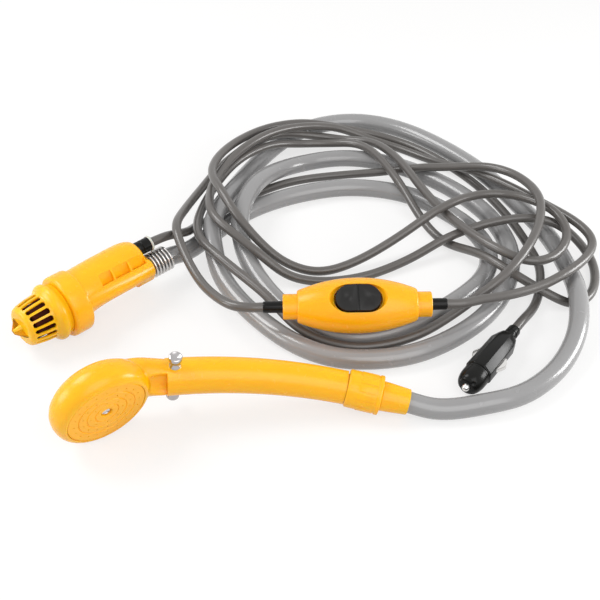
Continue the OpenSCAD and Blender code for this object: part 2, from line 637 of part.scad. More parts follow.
module stadium(l, w, h)
    linear_extrude(h) {
        square([l - w, w], center = true);
        for (s = [-1, 1])
            translate([s * (l - w) / 2, 0])
                circle(d = w, $fn = 48);
    }

module switch_cover() color([0.96, 0.66, 0.1]) in_switch()
    difference() {
        intersection() {
            union() {
                difference() {
                    sw_solid();
                    sw_hollow();
                }
                intersection() {
                    sw_solid();
                    union() {
                        translate([0, 0, 4.5])
                            stadium(well_l + 3, well_w + 3, 20);
                        for (s = [-1, 1])
                            translate([s * screw_x, 0, seam])
                                cylinder(r = 3.2, h = 12);
                    }
                }
            }
            translate([-80, -40, seam])
                cube([160, 80, 60]);
        }
        translate([0, 0, 3])
            stadium(well_l, well_w, 30);
        translate([0, 0, sw_h / 2 - 2.6])
            stadium(well_l + 7.6, well_w + 1.4, 30);
        rod(relief_r, -80, -sw_len / 2 + 1, 0, 0);
        rod(relief_r, sw_len / 2 - 1, 80, 0, 0);
        translate([0, rocker_w / 2 + 2.6, rock_z])
            rotate([90, 0, 0])
                cylinder(r = pin_r, h = rocker_w + 5.2);
        for (s = [-1, 1])
            translate([s * screw_x, 0, seam - 1])
                cylinder(r = 1.3, h = 8);
    }

module switch_base() color([0.96, 0.64, 0.08]) in_switch()
    difference() {
        intersection() {
            union() {
                difference() {
                    sw_solid();
                    sw_hollow();
                }
                intersection() {
                    sw_solid();
                    union() {
                        for (s = [-1, 1])
                            translate([s * screw_x, 0, -20])
                                cylinder(r = 4, h = 20 + seam);
                        translate([-12, -6, -20])
                            cube([24, 12, 10]);
                    }
                }
            }
            translate([-80, -40, seam - 60])
                cube([160, 80, 60]);
        }
        rod(relief_r, -80, -sw_len / 2 + 1, 0, 0);
        rod(relief_r, sw_len / 2 - 1, 80, 0, 0);
        for (s = [-1, 1])
            translate([s * screw_x, 0, -30]) {
                cylinder(r = 1.3, h = 40);
                cylinder(r = 2.6, h = 24);
            }
    }

module rocker() color([0.06, 0.06, 0.06]) in_switch()
    difference() {
        union() {
            translate([0, 0, rock_z - 2.2])
                stadium(rocker_l, rocker_w, 8.4);
        }
        for (s = [-1, 1])
            rotate([0, s * 5, 0])
                translate([s > 0 ? -0.2 : -29.8, -20, rock_z + 6.2])
                    cube([30, 40, 10]);
        for (s = [-1, 1])
            translate([s * rocker_l * 0.24, 0, rock_z + 10.4])
                sphere(r = 4.6, $fn = 32);
        translate([0, 20, rock_z])
            rotate([90, 0, 0])
                cylinder(r = pin_r + run_gap, h = 40);
    }

module rocker_pin() color([0.75, 0.75, 0.77]) in_switch()
    translate([0, rocker_w / 2 + 2.6, rock_z])
        rotate([90, 0, 0])
            cylinder(r = pin_r, h = rocker_w + 5.2);

module switch_terminals() color([0.8, 0.62, 0.25]) in_switch()
    for (x = [-9, -0.4, 8.2])
        translate([x, -3, -10])
            cube([0.8, 6, 9]);

module switch_screws() color([0.75, 0.75, 0.77]) in_switch()
    for (s = [-1, 1])
        translate([s * screw_x, 0, -6]) {
            cylinder(r = 1.3, h = 12);
            translate([0, 0, -1.8])
                cylinder(r = 2.6, h = 1.8);
        }

module relief_left() color([0.05, 0.05, 0.05]) in_switch()
    rod(relief_r, -sw_len / 2 - sw_collar - relief_l, -sw_len / 2 + 1, 0, 0);

module relief_right() color([0.05, 0.05, 0.05]) in_switch()
    rod(relief_r, sw_len / 2 - 1, sw_len / 2 + sw_collar + relief_rt, 0, 0);

// Plug
module plug_solid() {
    translate([nose2_len + 3.2, 0, 0])
        rotate([0, 90, 0])
            rotate([0, 0, 22.5])
                cylinder(r1 = plug_r / cos(22.5), r2 = plug_r * 0.95 / cos(22.5), h = x_rel - 7 - nose2_len - 3.2,
                    $fn = 8);
    translate([x_rel - 7.01, 0, 0])
        rotate([0, 90, 0])
            rotate([0, 0, 22.5])
                cylinder(r1 = plug_r * 0.95 / cos(22.5), r2 = plug_r * 0.72 / cos(22.5), h = 7.01, $fn = 8);
    rod(6.2, 11, nose2_len + 4, 0, 0);
}

module plug_cut() {
    rod(fuse_r + 0.25, 0, x_cav, 0, 0);
    rod(5, nose2_len + 6, x_cav, 0, 0);
    rod(prelief_r - 0.8, x_rel - 5, x_rel + 1, 0, 0);
    rod(2, x_cav - 1, x_rel, 0, 0);
    translate([side_x - end_gap, -20, -side_w / 2 - run_gap])
        cube([side_l + 2 * end_gap, 40, side_w + 2 * run_gap]);
    translate([x_rel - 10.5, 0, -20]) {
        cylinder(r = 2.3, h = 15);
        cylinder(r = 1.2, h = 25);
    }
}

module plug_shell_top() color([0.05, 0.05, 0.05]) in_plug()
    difference() {
        plug_solid();
        plug_cut();
        translate([-1, -30, -60])
            cube([100, 60, 60]);
    }

module plug_shell_bottom() color([0.05, 0.05, 0.05]) in_plug()
    difference() {
        plug_solid();
        plug_cut();
        translate([-1, -30, 0])
            cube([100, 60, 60]);
    }

module plug_nose() color([0.06, 0.06, 0.06]) in_plug()
    difference() {
        turned([[0, 3], [4.6, 3], [5.9, 3.8], [7.1, 5.6], [7.8, 8.4], [8.1, 11], [8.1, nose2_len + 2.4],
            [7.7, nose2_len + 3], [0, nose2_len + 3]]);
        rod(6.2 + run_gap, 11 - end_gap, nose2_len + 4, 0, 0);
        rod(3.6 + run_gap, 7, nose2_len + 4, 0, 0);
        rod(tip_r + run_gap, 0, nose2_len, 0, 0);
        for (i = [0:3])
            rotate([90 * i + 45, 0, 0])
                translate([2, 5.6, 0])
                    rotate([0, 90, 0])
                        cylinder(r = 1.1, h = 3.2);
    }

module plug_tip() color([0.78, 0.78, 0.8]) in_plug()
    turned([[0, 0], [1.1, 0.2], [1.9, 0.9], [tip_r, 2], [tip_r, 7.4], [3.3, 7.4], [3.3, 8.6], [0, 8.6]]);

tip_turns = 4;
tip_m = 2.1;
function tip_a(i) = [0.6 + 3 * i / (8 * tip_turns), tip_m * cos(45 * i), tip_m * sin(45 * i)];
tip_pts = concat([[0, tip_m, 0]], [for (i = [0:8 * tip_turns]) tip_a(i)], [[4.2, tip_m, 0]]);
function tip_ring(i) = let (p = tip_pts[i], last = len(tip_pts) - 1,
    t = i == 0 || i == last ? [1, 0, 0] : unit(tip_pts[i + 1] - tip_pts[i - 1]),
    s = unit(cross([0, p[1], p[2]], t)), u = cross(t, s))
    [for (k = [0:5]) p + 0.3 * (cos(60 * k) * s + sin(60 * k) * u)];

module tip_spring() color([0.75, 0.75, 0.77]) in_plug()
    translate([8.6, 0, 0])
        skin([for (i = [0:len(tip_pts) - 1]) tip_ring(i)]);

module fuse() color([0.8, 0.85, 0.85]) in_plug()
    rod(fuse_r, 8.6 + 4.2 + tip_go + end_gap, x_cav, 0, 0);

module side_contact(s)
    translate([side_x, 0, -side_w / 2])
        linear_extrude(side_w)
            polygon([[0, s * 5.2], [side_l, s * 5.2], [side_l, s * (plug_r - 0.6)],
                [side_l - 1.6, s * (plug_r + 0.36 * side_out)], [side_l * 0.68, s * (plug_r + 0.82 * side_out)],
                [side_l / 2, s * (plug_r + side_out)], [side_l * 0.32, s * (plug_r + 0.82 * side_out)],
                [1.6, s * (plug_r + 0.36 * side_out)], [0, s * (plug_r - 0.6)]]);

module side_contact_left() color([0.78, 0.78, 0.8]) in_plug() side_contact(1);
module side_contact_right() color([0.78, 0.78, 0.8]) in_plug() side_contact(-1);

module plug_relief() color([0.05, 0.05, 0.05]) in_plug() {
    rod(prelief_r, x_rel, plug_len, 0, 0);
    rod(prelief_r - 0.8, x_rel - 5, x_rel + 1, 0, 0);
}

module plug_screw() color([0.75, 0.75, 0.77]) in_plug()
    translate([x_rel - 10.5, 0, 0]) {
        translate([0, 0, -5])
            cylinder(r = 1.2, h = 10);
        translate([0, 0, -6.6])
            cylinder(r = 2.3, h = 1.6);
    }

// Cords
module hose_pump() color([0.55, 0.55, 0.57]) translate(lay) skin(part_of(hose_rings, 0, hose_cut1));
module hose_coil() color([0.55, 0.55, 0.57]) translate(lay) skin(part_of(hose_rings, hose_cut1, hose_cut2));
module hose_handset() color([0.55, 0.55, 0.57]) translate(lay)
    skin(part_of(hose_rings, hose_cut2, len(hose_rings) - 1));
module cable_pump() color([0.33, 0.31, 0.3]) translate(lay) skin(part_of(rings_a, 0, cut_a));
module cable_switch_coil() color([0.33, 0.31, 0.3]) translate(lay)
    skin(part_of(rings_a, cut_a, len(rings_a) - 1));
module cable_plug_coil() color([0.33, 0.31, 0.3]) translate(lay) skin(part_of(rings_b, 0, cut_b));
module cable_plug() color([0.33, 0.31, 0.3]) translate(lay) skin(part_of(rings_b, cut_b, len(rings_b) - 1));

strainer_cap();
cap_o_ring();
pump_body();
inlet_plate();
impeller();
motor_shaft();
seal_plate();
shaft_seal();
motor_can();
motor_end_cap();
cable_gland();
gland_ring();
hose_spring();
handset_body();
face_plate();
face_gasket();
face_screw();
hanger_studs();
coupling_nut();
hose_washer();
hose_nipple();
hose_sleeve();
switch_cover();
switch_base();
rocker();
rocker_pin();
switch_terminals();
switch_screws();
relief_left();
relief_right();
plug_shell_top();
plug_shell_bottom();
plug_nose();
plug_tip();
tip_spring();
fuse();
side_contact_left();
side_contact_right();
plug_relief();
plug_screw();
hose_pump();
hose_coil();
hose_handset();
cable_pump();
cable_switch_coil();
cable_plug_coil();
cable_plug();

// Least gap of each coil to itself, on a finer line
echo(hose_coil_gap = least(smooth(hose_line, 6, hose_r), hose_r, 12));  // hose_coil
echo(switch_coil_gap = least(smooth(line_a, 6, cable_r), cable_r, 12));  // cable_switch_coil
echo(plug_coil_gap = least(smooth(line_b, 6, cable_r), cable_r, 12));  // cable_plug_coil
echo(ends = [hose_out, hose_end, gland_out, sw_left, sw_right, plug_out]);
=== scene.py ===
"""Camp shower: submersible pump, wound hose and cables, switch, vehicle plug and hand shower.

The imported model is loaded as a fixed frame.  Each sub-assembly is a class that models its
visible pieces in its own frame, in millimetres, and dresses them.
"""
from __future__ import annotations

import json
import logging
import math
from dataclasses import dataclass, field
from enum import Enum
from typing import Callable, Sequence

import bpy
from mathutils import Euler, Matrix, Vector

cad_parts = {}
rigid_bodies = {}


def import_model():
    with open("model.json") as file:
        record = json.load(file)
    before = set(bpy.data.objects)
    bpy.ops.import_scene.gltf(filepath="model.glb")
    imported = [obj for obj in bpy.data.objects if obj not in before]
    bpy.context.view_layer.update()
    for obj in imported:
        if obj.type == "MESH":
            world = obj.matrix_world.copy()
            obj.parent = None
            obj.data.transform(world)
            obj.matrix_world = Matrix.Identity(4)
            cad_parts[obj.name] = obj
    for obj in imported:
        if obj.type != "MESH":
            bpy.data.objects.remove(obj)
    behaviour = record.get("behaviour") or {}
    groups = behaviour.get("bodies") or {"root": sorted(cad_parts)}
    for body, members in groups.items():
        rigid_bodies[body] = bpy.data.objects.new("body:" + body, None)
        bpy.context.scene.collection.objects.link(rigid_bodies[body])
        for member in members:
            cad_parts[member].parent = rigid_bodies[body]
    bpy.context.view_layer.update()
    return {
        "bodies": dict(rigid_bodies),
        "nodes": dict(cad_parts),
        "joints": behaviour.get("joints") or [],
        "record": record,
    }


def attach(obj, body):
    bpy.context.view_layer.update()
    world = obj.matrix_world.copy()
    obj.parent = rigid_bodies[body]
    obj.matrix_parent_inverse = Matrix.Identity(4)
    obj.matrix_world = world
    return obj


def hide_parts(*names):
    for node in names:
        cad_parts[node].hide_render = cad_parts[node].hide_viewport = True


log = logging.getLogger("camp_shower")

MM = 0.001
LAY = Vector((0.991, -12.38, 0.0))
Triple = tuple[float, float, float]
Piece = bpy.types.Object
Test = Callable[[Vector, Vector], bool]


class Body(Enum):
    """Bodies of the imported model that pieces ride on."""

    BASE = "base"
    STRAINER = "strainer"
    NUT = "nut"
    ROCKER = "rocker_arm"
    PLUG_RING = "plug_ring"
    PLUG_POINT = "plug_point"
    CONTACT_LEFT = "contact_left"
    CONTACT_RIGHT = "contact_right"


class Along(Enum):
    """Turns that carry the modelling axis X onto another axis."""

    Z = (0.0, -90.0, 0.0)
    MINUS_Z = (0.0, 90.0, 0.0)

    def matrix(self) -> Matrix:
        """The turn as a matrix."""
        return turned_by(self.value)


@dataclass(frozen=True)
class Ring:
    """One cross-section across X: its place, half sizes and centre, in millimetres."""

    x: float
    ry: float
    rz: float
    cy: float = 0.0
    cz: float = 0.0


def turned_by(degrees: Sequence[float]) -> Matrix:
    """Matrix of turns about X, then Y, then Z, in degrees."""
    return Euler([math.radians(a) for a in degrees], "XYZ").to_matrix().to_4x4()


def moved_by(offset: Sequence[float]) -> Matrix:
    """Matrix of a move in millimetres."""
    return Matrix.Translation(Vector(offset) * MM)


def stand(at: Sequence[float], degrees: Sequence[float]) -> Matrix:
    """Frame of a sub-assembly that lies at a place in the row frame.

    Args:
        at: origin in millimetres, before the shift over the row's origin.
        degrees: turns about X, Y and Z.

    Returns:
        The frame's matrix.
    """
    return moved_by(LAY + Vector(at)) @ turned_by(degrees)


HANDLE_BOW_X = 53.0
HANDLE_BOW_Y = 7.0
HANDLE_BOW_R = 300.0


def bow(x: float) -> float:
    """Sideways place of the handle's centre line, in millimetres."""
    return HANDLE_BOW_Y - (x - HANDLE_BOW_X) ** 2 / (2.0 * HANDLE_BOW_R)


def lean(x: float) -> float:
    """Lean of the handle's centre line, in radians."""
    return -math.asin((x - HANDLE_BOW_X) / HANDLE_BOW_R)


NUT_X = 108.0
PUMP = stand((-116.6, 16.0, 20.0), (0.0, 0.0, 43.5))
HAND = stand((-15.6, -32.4, 27.6), (13.0, 7.6, 1.5))
NUT = HAND @ moved_by((NUT_X, bow(NUT_X), 0.0)) @ turned_by((0.0, 0.0, math.degrees(lean(NUT_X))))
FACE = HAND @ moved_by((-34.2, -24.4, 0.0)) @ turned_by((0.0, 0.0, 34.0)) @ turned_by((90.0, 0.0, 0.0))
SWITCH = stand((89.5, 31.0, 28.4), (29.0, 0.0, 1.7))
PLUG = stand((149.9, -20.6, 8.2), (0.0, 0.0, 54.5))


# Modelling bench


WIRE_SIDES = 14
TURN_STEPS = 28


def leave() -> None:
    """Go back to object mode."""
    bpy.ops.object.mode_set(mode="OBJECT")


def edit_all() -> None:
    """Enter edit mode with everything selected."""
    bpy.ops.object.mode_set(mode="EDIT")
    bpy.ops.mesh.select_all(action="SELECT")


def settle() -> None:
    """Put the selected object's place into its mesh."""
    bpy.ops.object.transform_apply(location=True, rotation=True, scale=True)


def clear() -> None:
    """Leave edit mode and select nothing."""
    active = bpy.context.view_layer.objects.active
    if active is not None and active.mode != "OBJECT":
        leave()
    bpy.ops.object.select_all(action="DESELECT")


def take(*objs: Piece) -> None:
    """Select these objects alone; the last one is active.

    Args:
        objs: the objects.
    """
    clear()
    for obj in objs:
        obj.select_set(True)
        bpy.context.view_layer.objects.active = obj


def pick(obj: Piece, test: Test) -> None:
    """Enter edit mode with the faces that pass a test selected.

    Args:
        obj: the piece.
        test: told a face's centre in millimetres and its normal.
    """
    take(obj)
    bpy.ops.object.mode_set(mode="EDIT")
    bpy.ops.mesh.select_mode(type="FACE")
    bpy.ops.mesh.select_all(action="DESELECT")
    leave()
    for poly in obj.data.polygons:
        poly.select = test(poly.center / MM, poly.normal)
    bpy.ops.object.mode_set(mode="EDIT")


def cut_faces(obj: Piece, test: Test) -> None:
    """Delete the faces that pass a test.

    Args:
        obj: the piece.
        test: told a face's centre in millimetres and its normal.
    """
    pick(obj, test)
    bpy.ops.mesh.delete(type="FACE")
    leave()


def outwards(obj: Piece) -> None:
    """Merge doubles and turn all faces outwards.

    Args:
        obj: the piece.
    """
    take(obj)
    edit_all()
    bpy.ops.mesh.remove_doubles(threshold=1e-6)
    bpy.ops.mesh.normals_make_consistent(inside=False)
    leave()


def loft(rings: Sequence[Ring], sides: int = 64, roll: float = 0.0, wide: float = 0.0) -> Piece:
    """Draw a closed skin through cross-sections along X, by extruding and scaling.

    Args:
        rings: the cross-sections in order.
        sides: corners of each section.
        roll: turn of the sections about X, in degrees.
        wide: straight length that splits each section along Y, in millimetres.

    Returns:
        The new object, in its own frame.
    """
    clear()
    bpy.ops.mesh.primitive_circle_add(
        vertices=sides, radius=MM, fill_type="NGON", rotation=(0.0, math.pi / 2, 0.0)
    )
    obj = bpy.context.object
    settle()
    if roll:
        obj.rotation_euler = (math.radians(roll), 0.0, 0.0)
        settle()
    first = rings[0]
    edit_all()
    bpy.ops.transform.resize(value=(1.0, first.ry, first.rz), center_override=(0.0, 0.0, 0.0))
    bpy.ops.transform.translate(value=(first.x * MM, first.cy * MM, first.cz * MM))
    for a, b in zip(rings, rings[1:]):
        step = Vector((b.x - a.x, b.cy - a.cy, b.cz - a.cz)) * MM
        bpy.ops.mesh.extrude_region_move(TRANSFORM_OT_translate={"value": step})
        if (a.ry, a.rz) != (b.ry, b.rz):
            bpy.ops.transform.resize(
                value=(1.0, b.ry / a.ry, b.rz / a.rz),
                center_override=(b.x * MM, b.cy * MM, b.cz * MM),
            )
    leave()
    if wide:
        for vert in obj.data.vertices:
            if abs(vert.co.y) > 1e-7:
                vert.co.y += math.copysign(wide / 2.0 * MM, vert.co.y)
    outwards(obj)
    return obj


def lathe(profile: Sequence[tuple[float, float]], sides: int = 64) -> Piece:
    """Turn a profile of (x, radius) points about X."""
    return loft([Ring(x, r, r) for x, r in profile], sides)


def fair(rings: Sequence[Ring], steps: int = 4) -> list[Ring]:
    """Put smooth in-between sections into a row of cross-sections.

    Args:
        rings: the cross-sections in order.
        steps: sections made for each stretch.

    Returns:
        The longer row.
    """
    rows = [(r.x, r.ry, r.rz, r.cy, r.cz) for r in rings]
    ends = [tuple(2 * a - b for a, b in zip(rows[0], rows[1]))] + rows
    ends.append(tuple(2 * a - b for a, b in zip(rows[-1], rows[-2])))
    out = []
    for i in range(1, len(ends) - 2):
        for k in range(steps):
            out.append(Ring(*(curve_at(*v, k / steps) for v in zip(*ends[i - 1 : i + 3]))))
    out.append(rings[-1])
    return out


def curve_at(a: float, b: float, c: float, d: float, t: float) -> float:
    """Value between b and c on the smooth curve through four values."""
    return 0.5 * (2 * b + (c - a) * t + (2 * a - 5 * b + 4 * c - d) * t * t + (3 * b - a - 3 * c + d) * t**3)


def block(low: Triple, high: Triple) -> Piece:
    """Box between two corners in millimetres, as a start for a rib or a cutter.

    Args:
        low: the lower corner.
        high: the upper corner.

    Returns:
        The box.
    """
    clear()
    centre = (Vector(low) + Vector(high)) * (0.5 * MM)
    bpy.ops.mesh.primitive_cube_add(size=1.0, location=centre)
    obj = bpy.context.object
    obj.scale = (Vector(high) - Vector(low)) * MM
    settle()
    return obj


def ball(radius: float, at: Triple) -> Piece:
    """Ball as a cutter for a dimple.

    Args:
        radius: its radius in millimetres.
        at: its centre.

    Returns:
        The ball.
    """
    clear()
    bpy.ops.mesh.primitive_uv_sphere_add(
        segments=32, ring_count=20, radius=radius * MM, location=Vector(at) * MM
    )
    settle()
    return bpy.context.object


def place(obj: Piece, matrix: Matrix) -> Piece:
    """Carry a piece into a frame and put its place into its mesh.

    Args:
        obj: the piece.
        matrix: the frame.

    Returns:
        The same object.
    """
    take(obj)
    obj.matrix_world = matrix
    settle()
    return obj


def copy(obj: Piece, matrix: Matrix) -> Piece:
    """Copy a piece with a mesh of its own and carry the copy.

    Args:
        obj: the piece.
        matrix: the copy's frame.

    Returns:
        The copy.
    """
    take(obj)
    bpy.ops.object.duplicate()
    return place(bpy.context.object, matrix)


def around(obj: Piece, count: int, first: float = 0.0) -> Piece:
    """Repeat a piece round X and join the copies.

    Args:
        obj: the piece that repeats.
        count: how many stand round the axis.
        first: turn of the first, in degrees.

    Returns:
        The joined object.
    """
    copies = [copy(obj, turned_by((first + 360.0 * i / count, 0.0, 0.0))) for i in range(count)]
    bpy.data.objects.remove(obj, do_unlink=True)
    return join(*copies)


def join(*objs: Piece) -> Piece:
    """Join objects into the last one.

    Args:
        objs: the objects.

    Returns:
        The joined object.
    """
    take(*objs)
    bpy.ops.object.join()
    return bpy.context.object


def apply(obj: Piece, kind: str, **settings: object) -> Piece:
    """Add a modifier, set it and apply it.

    Args:
        obj: the piece.
        kind: type of modifier.
        settings: its properties.

    Returns:
        The same object.
    """
    take(obj)
    mod = obj.modifiers.new(kind.title(), kind)
    for key, value in settings.items():
        setattr(mod, key, value)
    bpy.ops.object.modifier_apply(modifier=mod.name)
    return obj


def carve(obj: Piece, tool: Piece, operation: str = "DIFFERENCE") -> Piece:
    """Cut a piece with another, or fuse them, and drop the tool.

    Args:
        obj: the piece.
        tool: the cutter, or the solid that is added.
        operation: what the Boolean does.

    Returns:
        The same object.
    """
    apply(obj, "BOOLEAN", operation=operation, solver="EXACT", object=tool)
    bpy.data.objects.remove(tool, do_unlink=True)
    return obj


def fuse(obj: Piece, *others: Piece) -> Piece:
    """Fuse solids into one.

    Args:
        obj: the first solid.
        others: the solids that join it.

    Returns:
        The same object.
    """
    for other in others:
        carve(obj, other, "UNION")
    return obj


def ease(obj: Piece, width: float, segments: int = 2, angle: float = 35.0) -> Piece:
    """Round off the edges sharper than an angle.

    Args:
        obj: the piece.
        width: width of the rounding in millimetres.
        segments: its facets.
        angle: the angle in degrees.

    Returns:
        The same object.
    """
    return apply(
        obj, "BEVEL", width=width * MM, segments=segments, limit_method="ANGLE",
        angle_limit=math.radians(angle), use_clamp_overlap=True,
    )


def smooth(obj: Piece, angle: float = 35.0) -> Piece:
    """Shade smooth, with edges kept past an angle.

    Args:
        obj: the piece.
        angle: the angle in degrees.

    Returns:
        The same object.
    """
    take(obj)
    bpy.ops.object.shade_smooth_by_angle(angle=math.radians(angle))
    return obj


def seat(obj: Piece, frame: Matrix, angle: float = 35.0) -> Piece:
    """Carry a finished piece into its frame and shade it smooth."""
    return smooth(place(obj, frame), angle)


def half(obj: Piece, height: float, keep_top: bool) -> Piece:
    """Cut a piece level and keep one side, closed.

    Args:
        obj: the piece, in its own frame.
        height: height of the cut in millimetres.
        keep_top: whether the upper side stays.

    Returns:
        The same object.
    """
    take(obj)
    edit_all()
    bpy.ops.mesh.bisect(
        plane_co=(0.0, 0.0, height * MM), plane_no=(0.0, 0.0, 1.0), use_fill=True,
        clear_inner=keep_top, clear_outer=not keep_top,
    )
    leave()
    outwards(obj)
    return obj


def coil(radius: float, wire: float, length: float, turns: float, first: float) -> Piece:
    """Wind a wire spring along X, by screwing its section round the axis.

    Args:
        radius: radius at the wire's middle, in millimetres.
        wire: wire diameter.
        length: length over the wire's middle.
        turns: number of turns.
        first: angle of the wire's start, in degrees.

    Returns:
        The spring, starting at X = 0.
    """
    clear()
    bpy.ops.mesh.primitive_circle_add(
        vertices=WIRE_SIDES, radius=wire / 2 * MM, fill_type="NOTHING", location=(0.0, radius * MM, 0.0)
    )
    obj = bpy.context.object
    settle()
    steps = int(TURN_STEPS * turns)
    apply(
        obj, "SCREW", axis="X", angle=2 * math.pi * turns, screw_offset=length * MM,
        steps=steps, render_steps=steps, use_merge_vertices=False,
    )
    edit_all()
    bpy.ops.mesh.fill_holes(sides=20)
    leave()
    outwards(obj)
    return place(obj, turned_by((first, 0.0, 0.0)))


# Finishes


GLOSS_RANGE = (0.8, 1.25)
GLOSS_FINENESS = 5.0
COAT_ROUGHNESS = 0.12
SCATTER_RADIUS = (1.0, 0.3, 0.05)
SCATTER_SCALE = 0.004
SKIN_DEPTH = 0.0004


@dataclass(frozen=True)
class Finish:
    """A finish: clouded colour, gloss that wanders a little and a fine skin.

    The colour clouds over to the second one.  Cloud and grain say how fine the clouds and the
    skin are, relief how strong the skin is, and stretch scales the coordinates of all three.
    Depth is the share of light that scatters inside, clearness the share that passes through,
    coat the weight of a clear layer and sheen the strength of plain reflections.
    """

    name: str
    colour: Triple
    second: Triple
    roughness: float
    metallic: float = 0.0
    cloud: float = 60.0
    grain: float = 1800.0
    relief: float = 0.04
    stretch: Triple = (1.0, 1.0, 1.0)
    depth: float = 0.0
    coat: float = 0.0
    clearness: float = 0.0
    sheen: float = 0.5

    def material(self) -> bpy.types.Material:
        """Make the finish, or return it if it was made before.

        Returns:
            The material.
        """
        made = bpy.data.materials.get(self.name)
        if made is not None:
            return made
        mat = bpy.data.materials.new(self.name)
        mat.use_nodes = True
        nodes, links = mat.node_tree.nodes, mat.node_tree.links
        shader = nodes["Principled BSDF"]
        shader.inputs["Metallic"].default_value = self.metallic
        shader.inputs["Specular IOR Level"].default_value = self.sheen
        shader.inputs["Coat Weight"].default_value = self.coat
        shader.inputs["Coat Roughness"].default_value = COAT_ROUGHNESS
        shader.inputs["Transmission Weight"].default_value = self.clearness
        if self.depth:
            shader.inputs["Subsurface Weight"].default_value = self.depth
            shader.inputs["Subsurface Radius"].default_value = SCATTER_RADIUS
            shader.inputs["Subsurface Scale"].default_value = SCATTER_SCALE
        coords = nodes.new("ShaderNodeTexCoord")
        lay = nodes.new("ShaderNodeMapping")
        lay.inputs["Scale"].default_value = self.stretch
        links.new(coords.outputs["Object"], lay.inputs["Vector"])

        clouds = self.noise(mat, lay, self.cloud, 3.0)
        tone = nodes.new("ShaderNodeMix")
        tone.data_type = "RGBA"
        tone.inputs["A"].default_value = (*self.colour, 1.0)
        tone.inputs["B"].default_value = (*self.second, 1.0)
        links.new(clouds.outputs["Fac"], tone.inputs["Factor"])
        links.new(tone.outputs["Result"], shader.inputs["Base Color"])

        wander = self.noise(mat, lay, self.cloud * GLOSS_FINENESS, 4.0)
        gloss = nodes.new("ShaderNodeMapRange")
        gloss.inputs["To Min"].default_value = max(0.02, self.roughness * GLOSS_RANGE[0])
        gloss.inputs["To Max"].default_value = min(1.0, self.roughness * GLOSS_RANGE[1])
        links.new(wander.outputs["Fac"], gloss.inputs["Value"])
        links.new(gloss.outputs["Result"], shader.inputs["Roughness"])

        grain = self.noise(mat, lay, self.grain, 2.0)
        skin = nodes.new("ShaderNodeBump")
        skin.inputs["Strength"].default_value = self.relief
        skin.inputs["Distance"].default_value = SKIN_DEPTH
        links.new(grain.outputs["Fac"], skin.inputs["Height"])
        links.new(skin.outputs["Normal"], shader.inputs["Normal"])
        return mat

    @staticmethod
    def noise(mat: bpy.types.Material, lay: bpy.types.Node, scale: float, detail: float) -> bpy.types.Node:
        """Add a noise pattern on the piece's own coordinates.

        Args:
            mat: the material.
            lay: node with the coordinates.
            scale: scale of the pattern.
            detail: its levels of detail.

        Returns:
            The pattern's node.
        """
        node = mat.node_tree.nodes.new("ShaderNodeTexNoise")
        node.inputs["Scale"].default_value = scale
        node.inputs["Detail"].default_value = detail
        mat.node_tree.links.new(lay.outputs["Vector"], node.inputs["Vector"])
        return node


YELLOW = Finish("yellow_abs", (1.0, 0.49, 0.006), (0.99, 0.455, 0.004), 0.25, depth=0.4, sheen=0.36)
CAP_YELLOW = Finish("strainer_abs", (0.99, 0.53, 0.008), (0.97, 0.47, 0.004), 0.24, depth=0.4, sheen=0.36)
# Switch case: a deeper orange copy of the yellow, with painted shade for the shaded dish and lower sides of
# the switch.
SWITCH_SHADED_YELLOW = Finish("switch_abs_shaded", (1.0, 0.455, 0.005), (0.99, 0.42, 0.003), 0.25, depth=0.4, sheen=0.36)
FACE_YELLOW = Finish("face_abs", (0.99, 0.475, 0.012), (0.975, 0.44, 0.007), 0.34, depth=0.12, sheen=0.32)
BLACK = Finish(
    "black_plastic_satin", (0.005, 0.005, 0.005), (0.008, 0.008, 0.007), 0.2, relief=0.05, sheen=0.17
)
ROCKER_BLACK = Finish(
    "rocker_nylon", (0.008, 0.008, 0.008), (0.013, 0.012, 0.011), 0.38, relief=0.1, sheen=0.26
)
RUBBER = Finish("seal_rubber", (0.014, 0.014, 0.014), (0.022, 0.021, 0.02), 0.62, relief=0.1)
# Inlet plate: a dark reddish brown that is painted shade, for the deep shade seen through the strainer's
# slots.
INLET_PAINTED_SHADE = Finish("inlet_painted_shade", (0.040, 0.006, 0.003), (0.055, 0.009, 0.004), 0.7, sheen=0.1)
PALE = Finish("pale_nylon", (0.62, 0.61, 0.56), (0.56, 0.55, 0.5), 0.42, depth=0.1)
STEEL = Finish("bright_steel", (0.72, 0.72, 0.73), (0.6, 0.6, 0.62), 0.2, metallic=1.0, stretch=(1, 6, 1))
SPRING_STEEL = Finish("spring_steel", (0.66, 0.65, 0.64), (0.52, 0.51, 0.5), 0.26, metallic=1.0)
STUD = Finish("stud_nickel", (0.5, 0.48, 0.48), (0.4, 0.385, 0.385), 0.18, metallic=1.0)
PLATED = Finish("nickel_plate", (0.82, 0.81, 0.79), (0.7, 0.69, 0.67), 0.16, metallic=1.0)
BRASS = Finish("terminal_brass", (0.78, 0.56, 0.22), (0.66, 0.45, 0.16), 0.28, metallic=1.0)
GLASS = Finish("fuse_glass", (0.92, 0.94, 0.94), (0.88, 0.9, 0.9), 0.06, clearness=0.85, relief=0.0)
HOSE_GREY = Finish("hose_vinyl", (0.28, 0.277, 0.277), (0.245, 0.242, 0.242), 0.25, cloud=35.0, coat=0.5)
CABLE_GREY = Finish("cable_vinyl", (0.106, 0.097, 0.09), (0.085, 0.078, 0.072), 0.34, cloud=45.0, coat=0.3)


def dress(
    obj: Piece, name: str, slot: str, finish: Finish, *nodes: str, body: Body = Body.BASE
) -> Piece:
    """Name a finished piece, give it its finish and tie it to the frame.

    Args:
        obj: the piece, in place.
        name: its name.
        slot: the record's slot that its finish belongs to; not used.
        finish: what it is made of.
        nodes: the solids that it stands for.
        body: the body it rides on.

    Returns:
        The same object.
    """
    obj.name = name
    obj.data.name = name
    obj.data.materials.clear()
    obj.data.materials.append(finish.material())
    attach(obj, body.value)
    if nodes:
        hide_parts(*nodes)
    log.info("%s rides on %s", name, body.value)
    return obj


# Cords


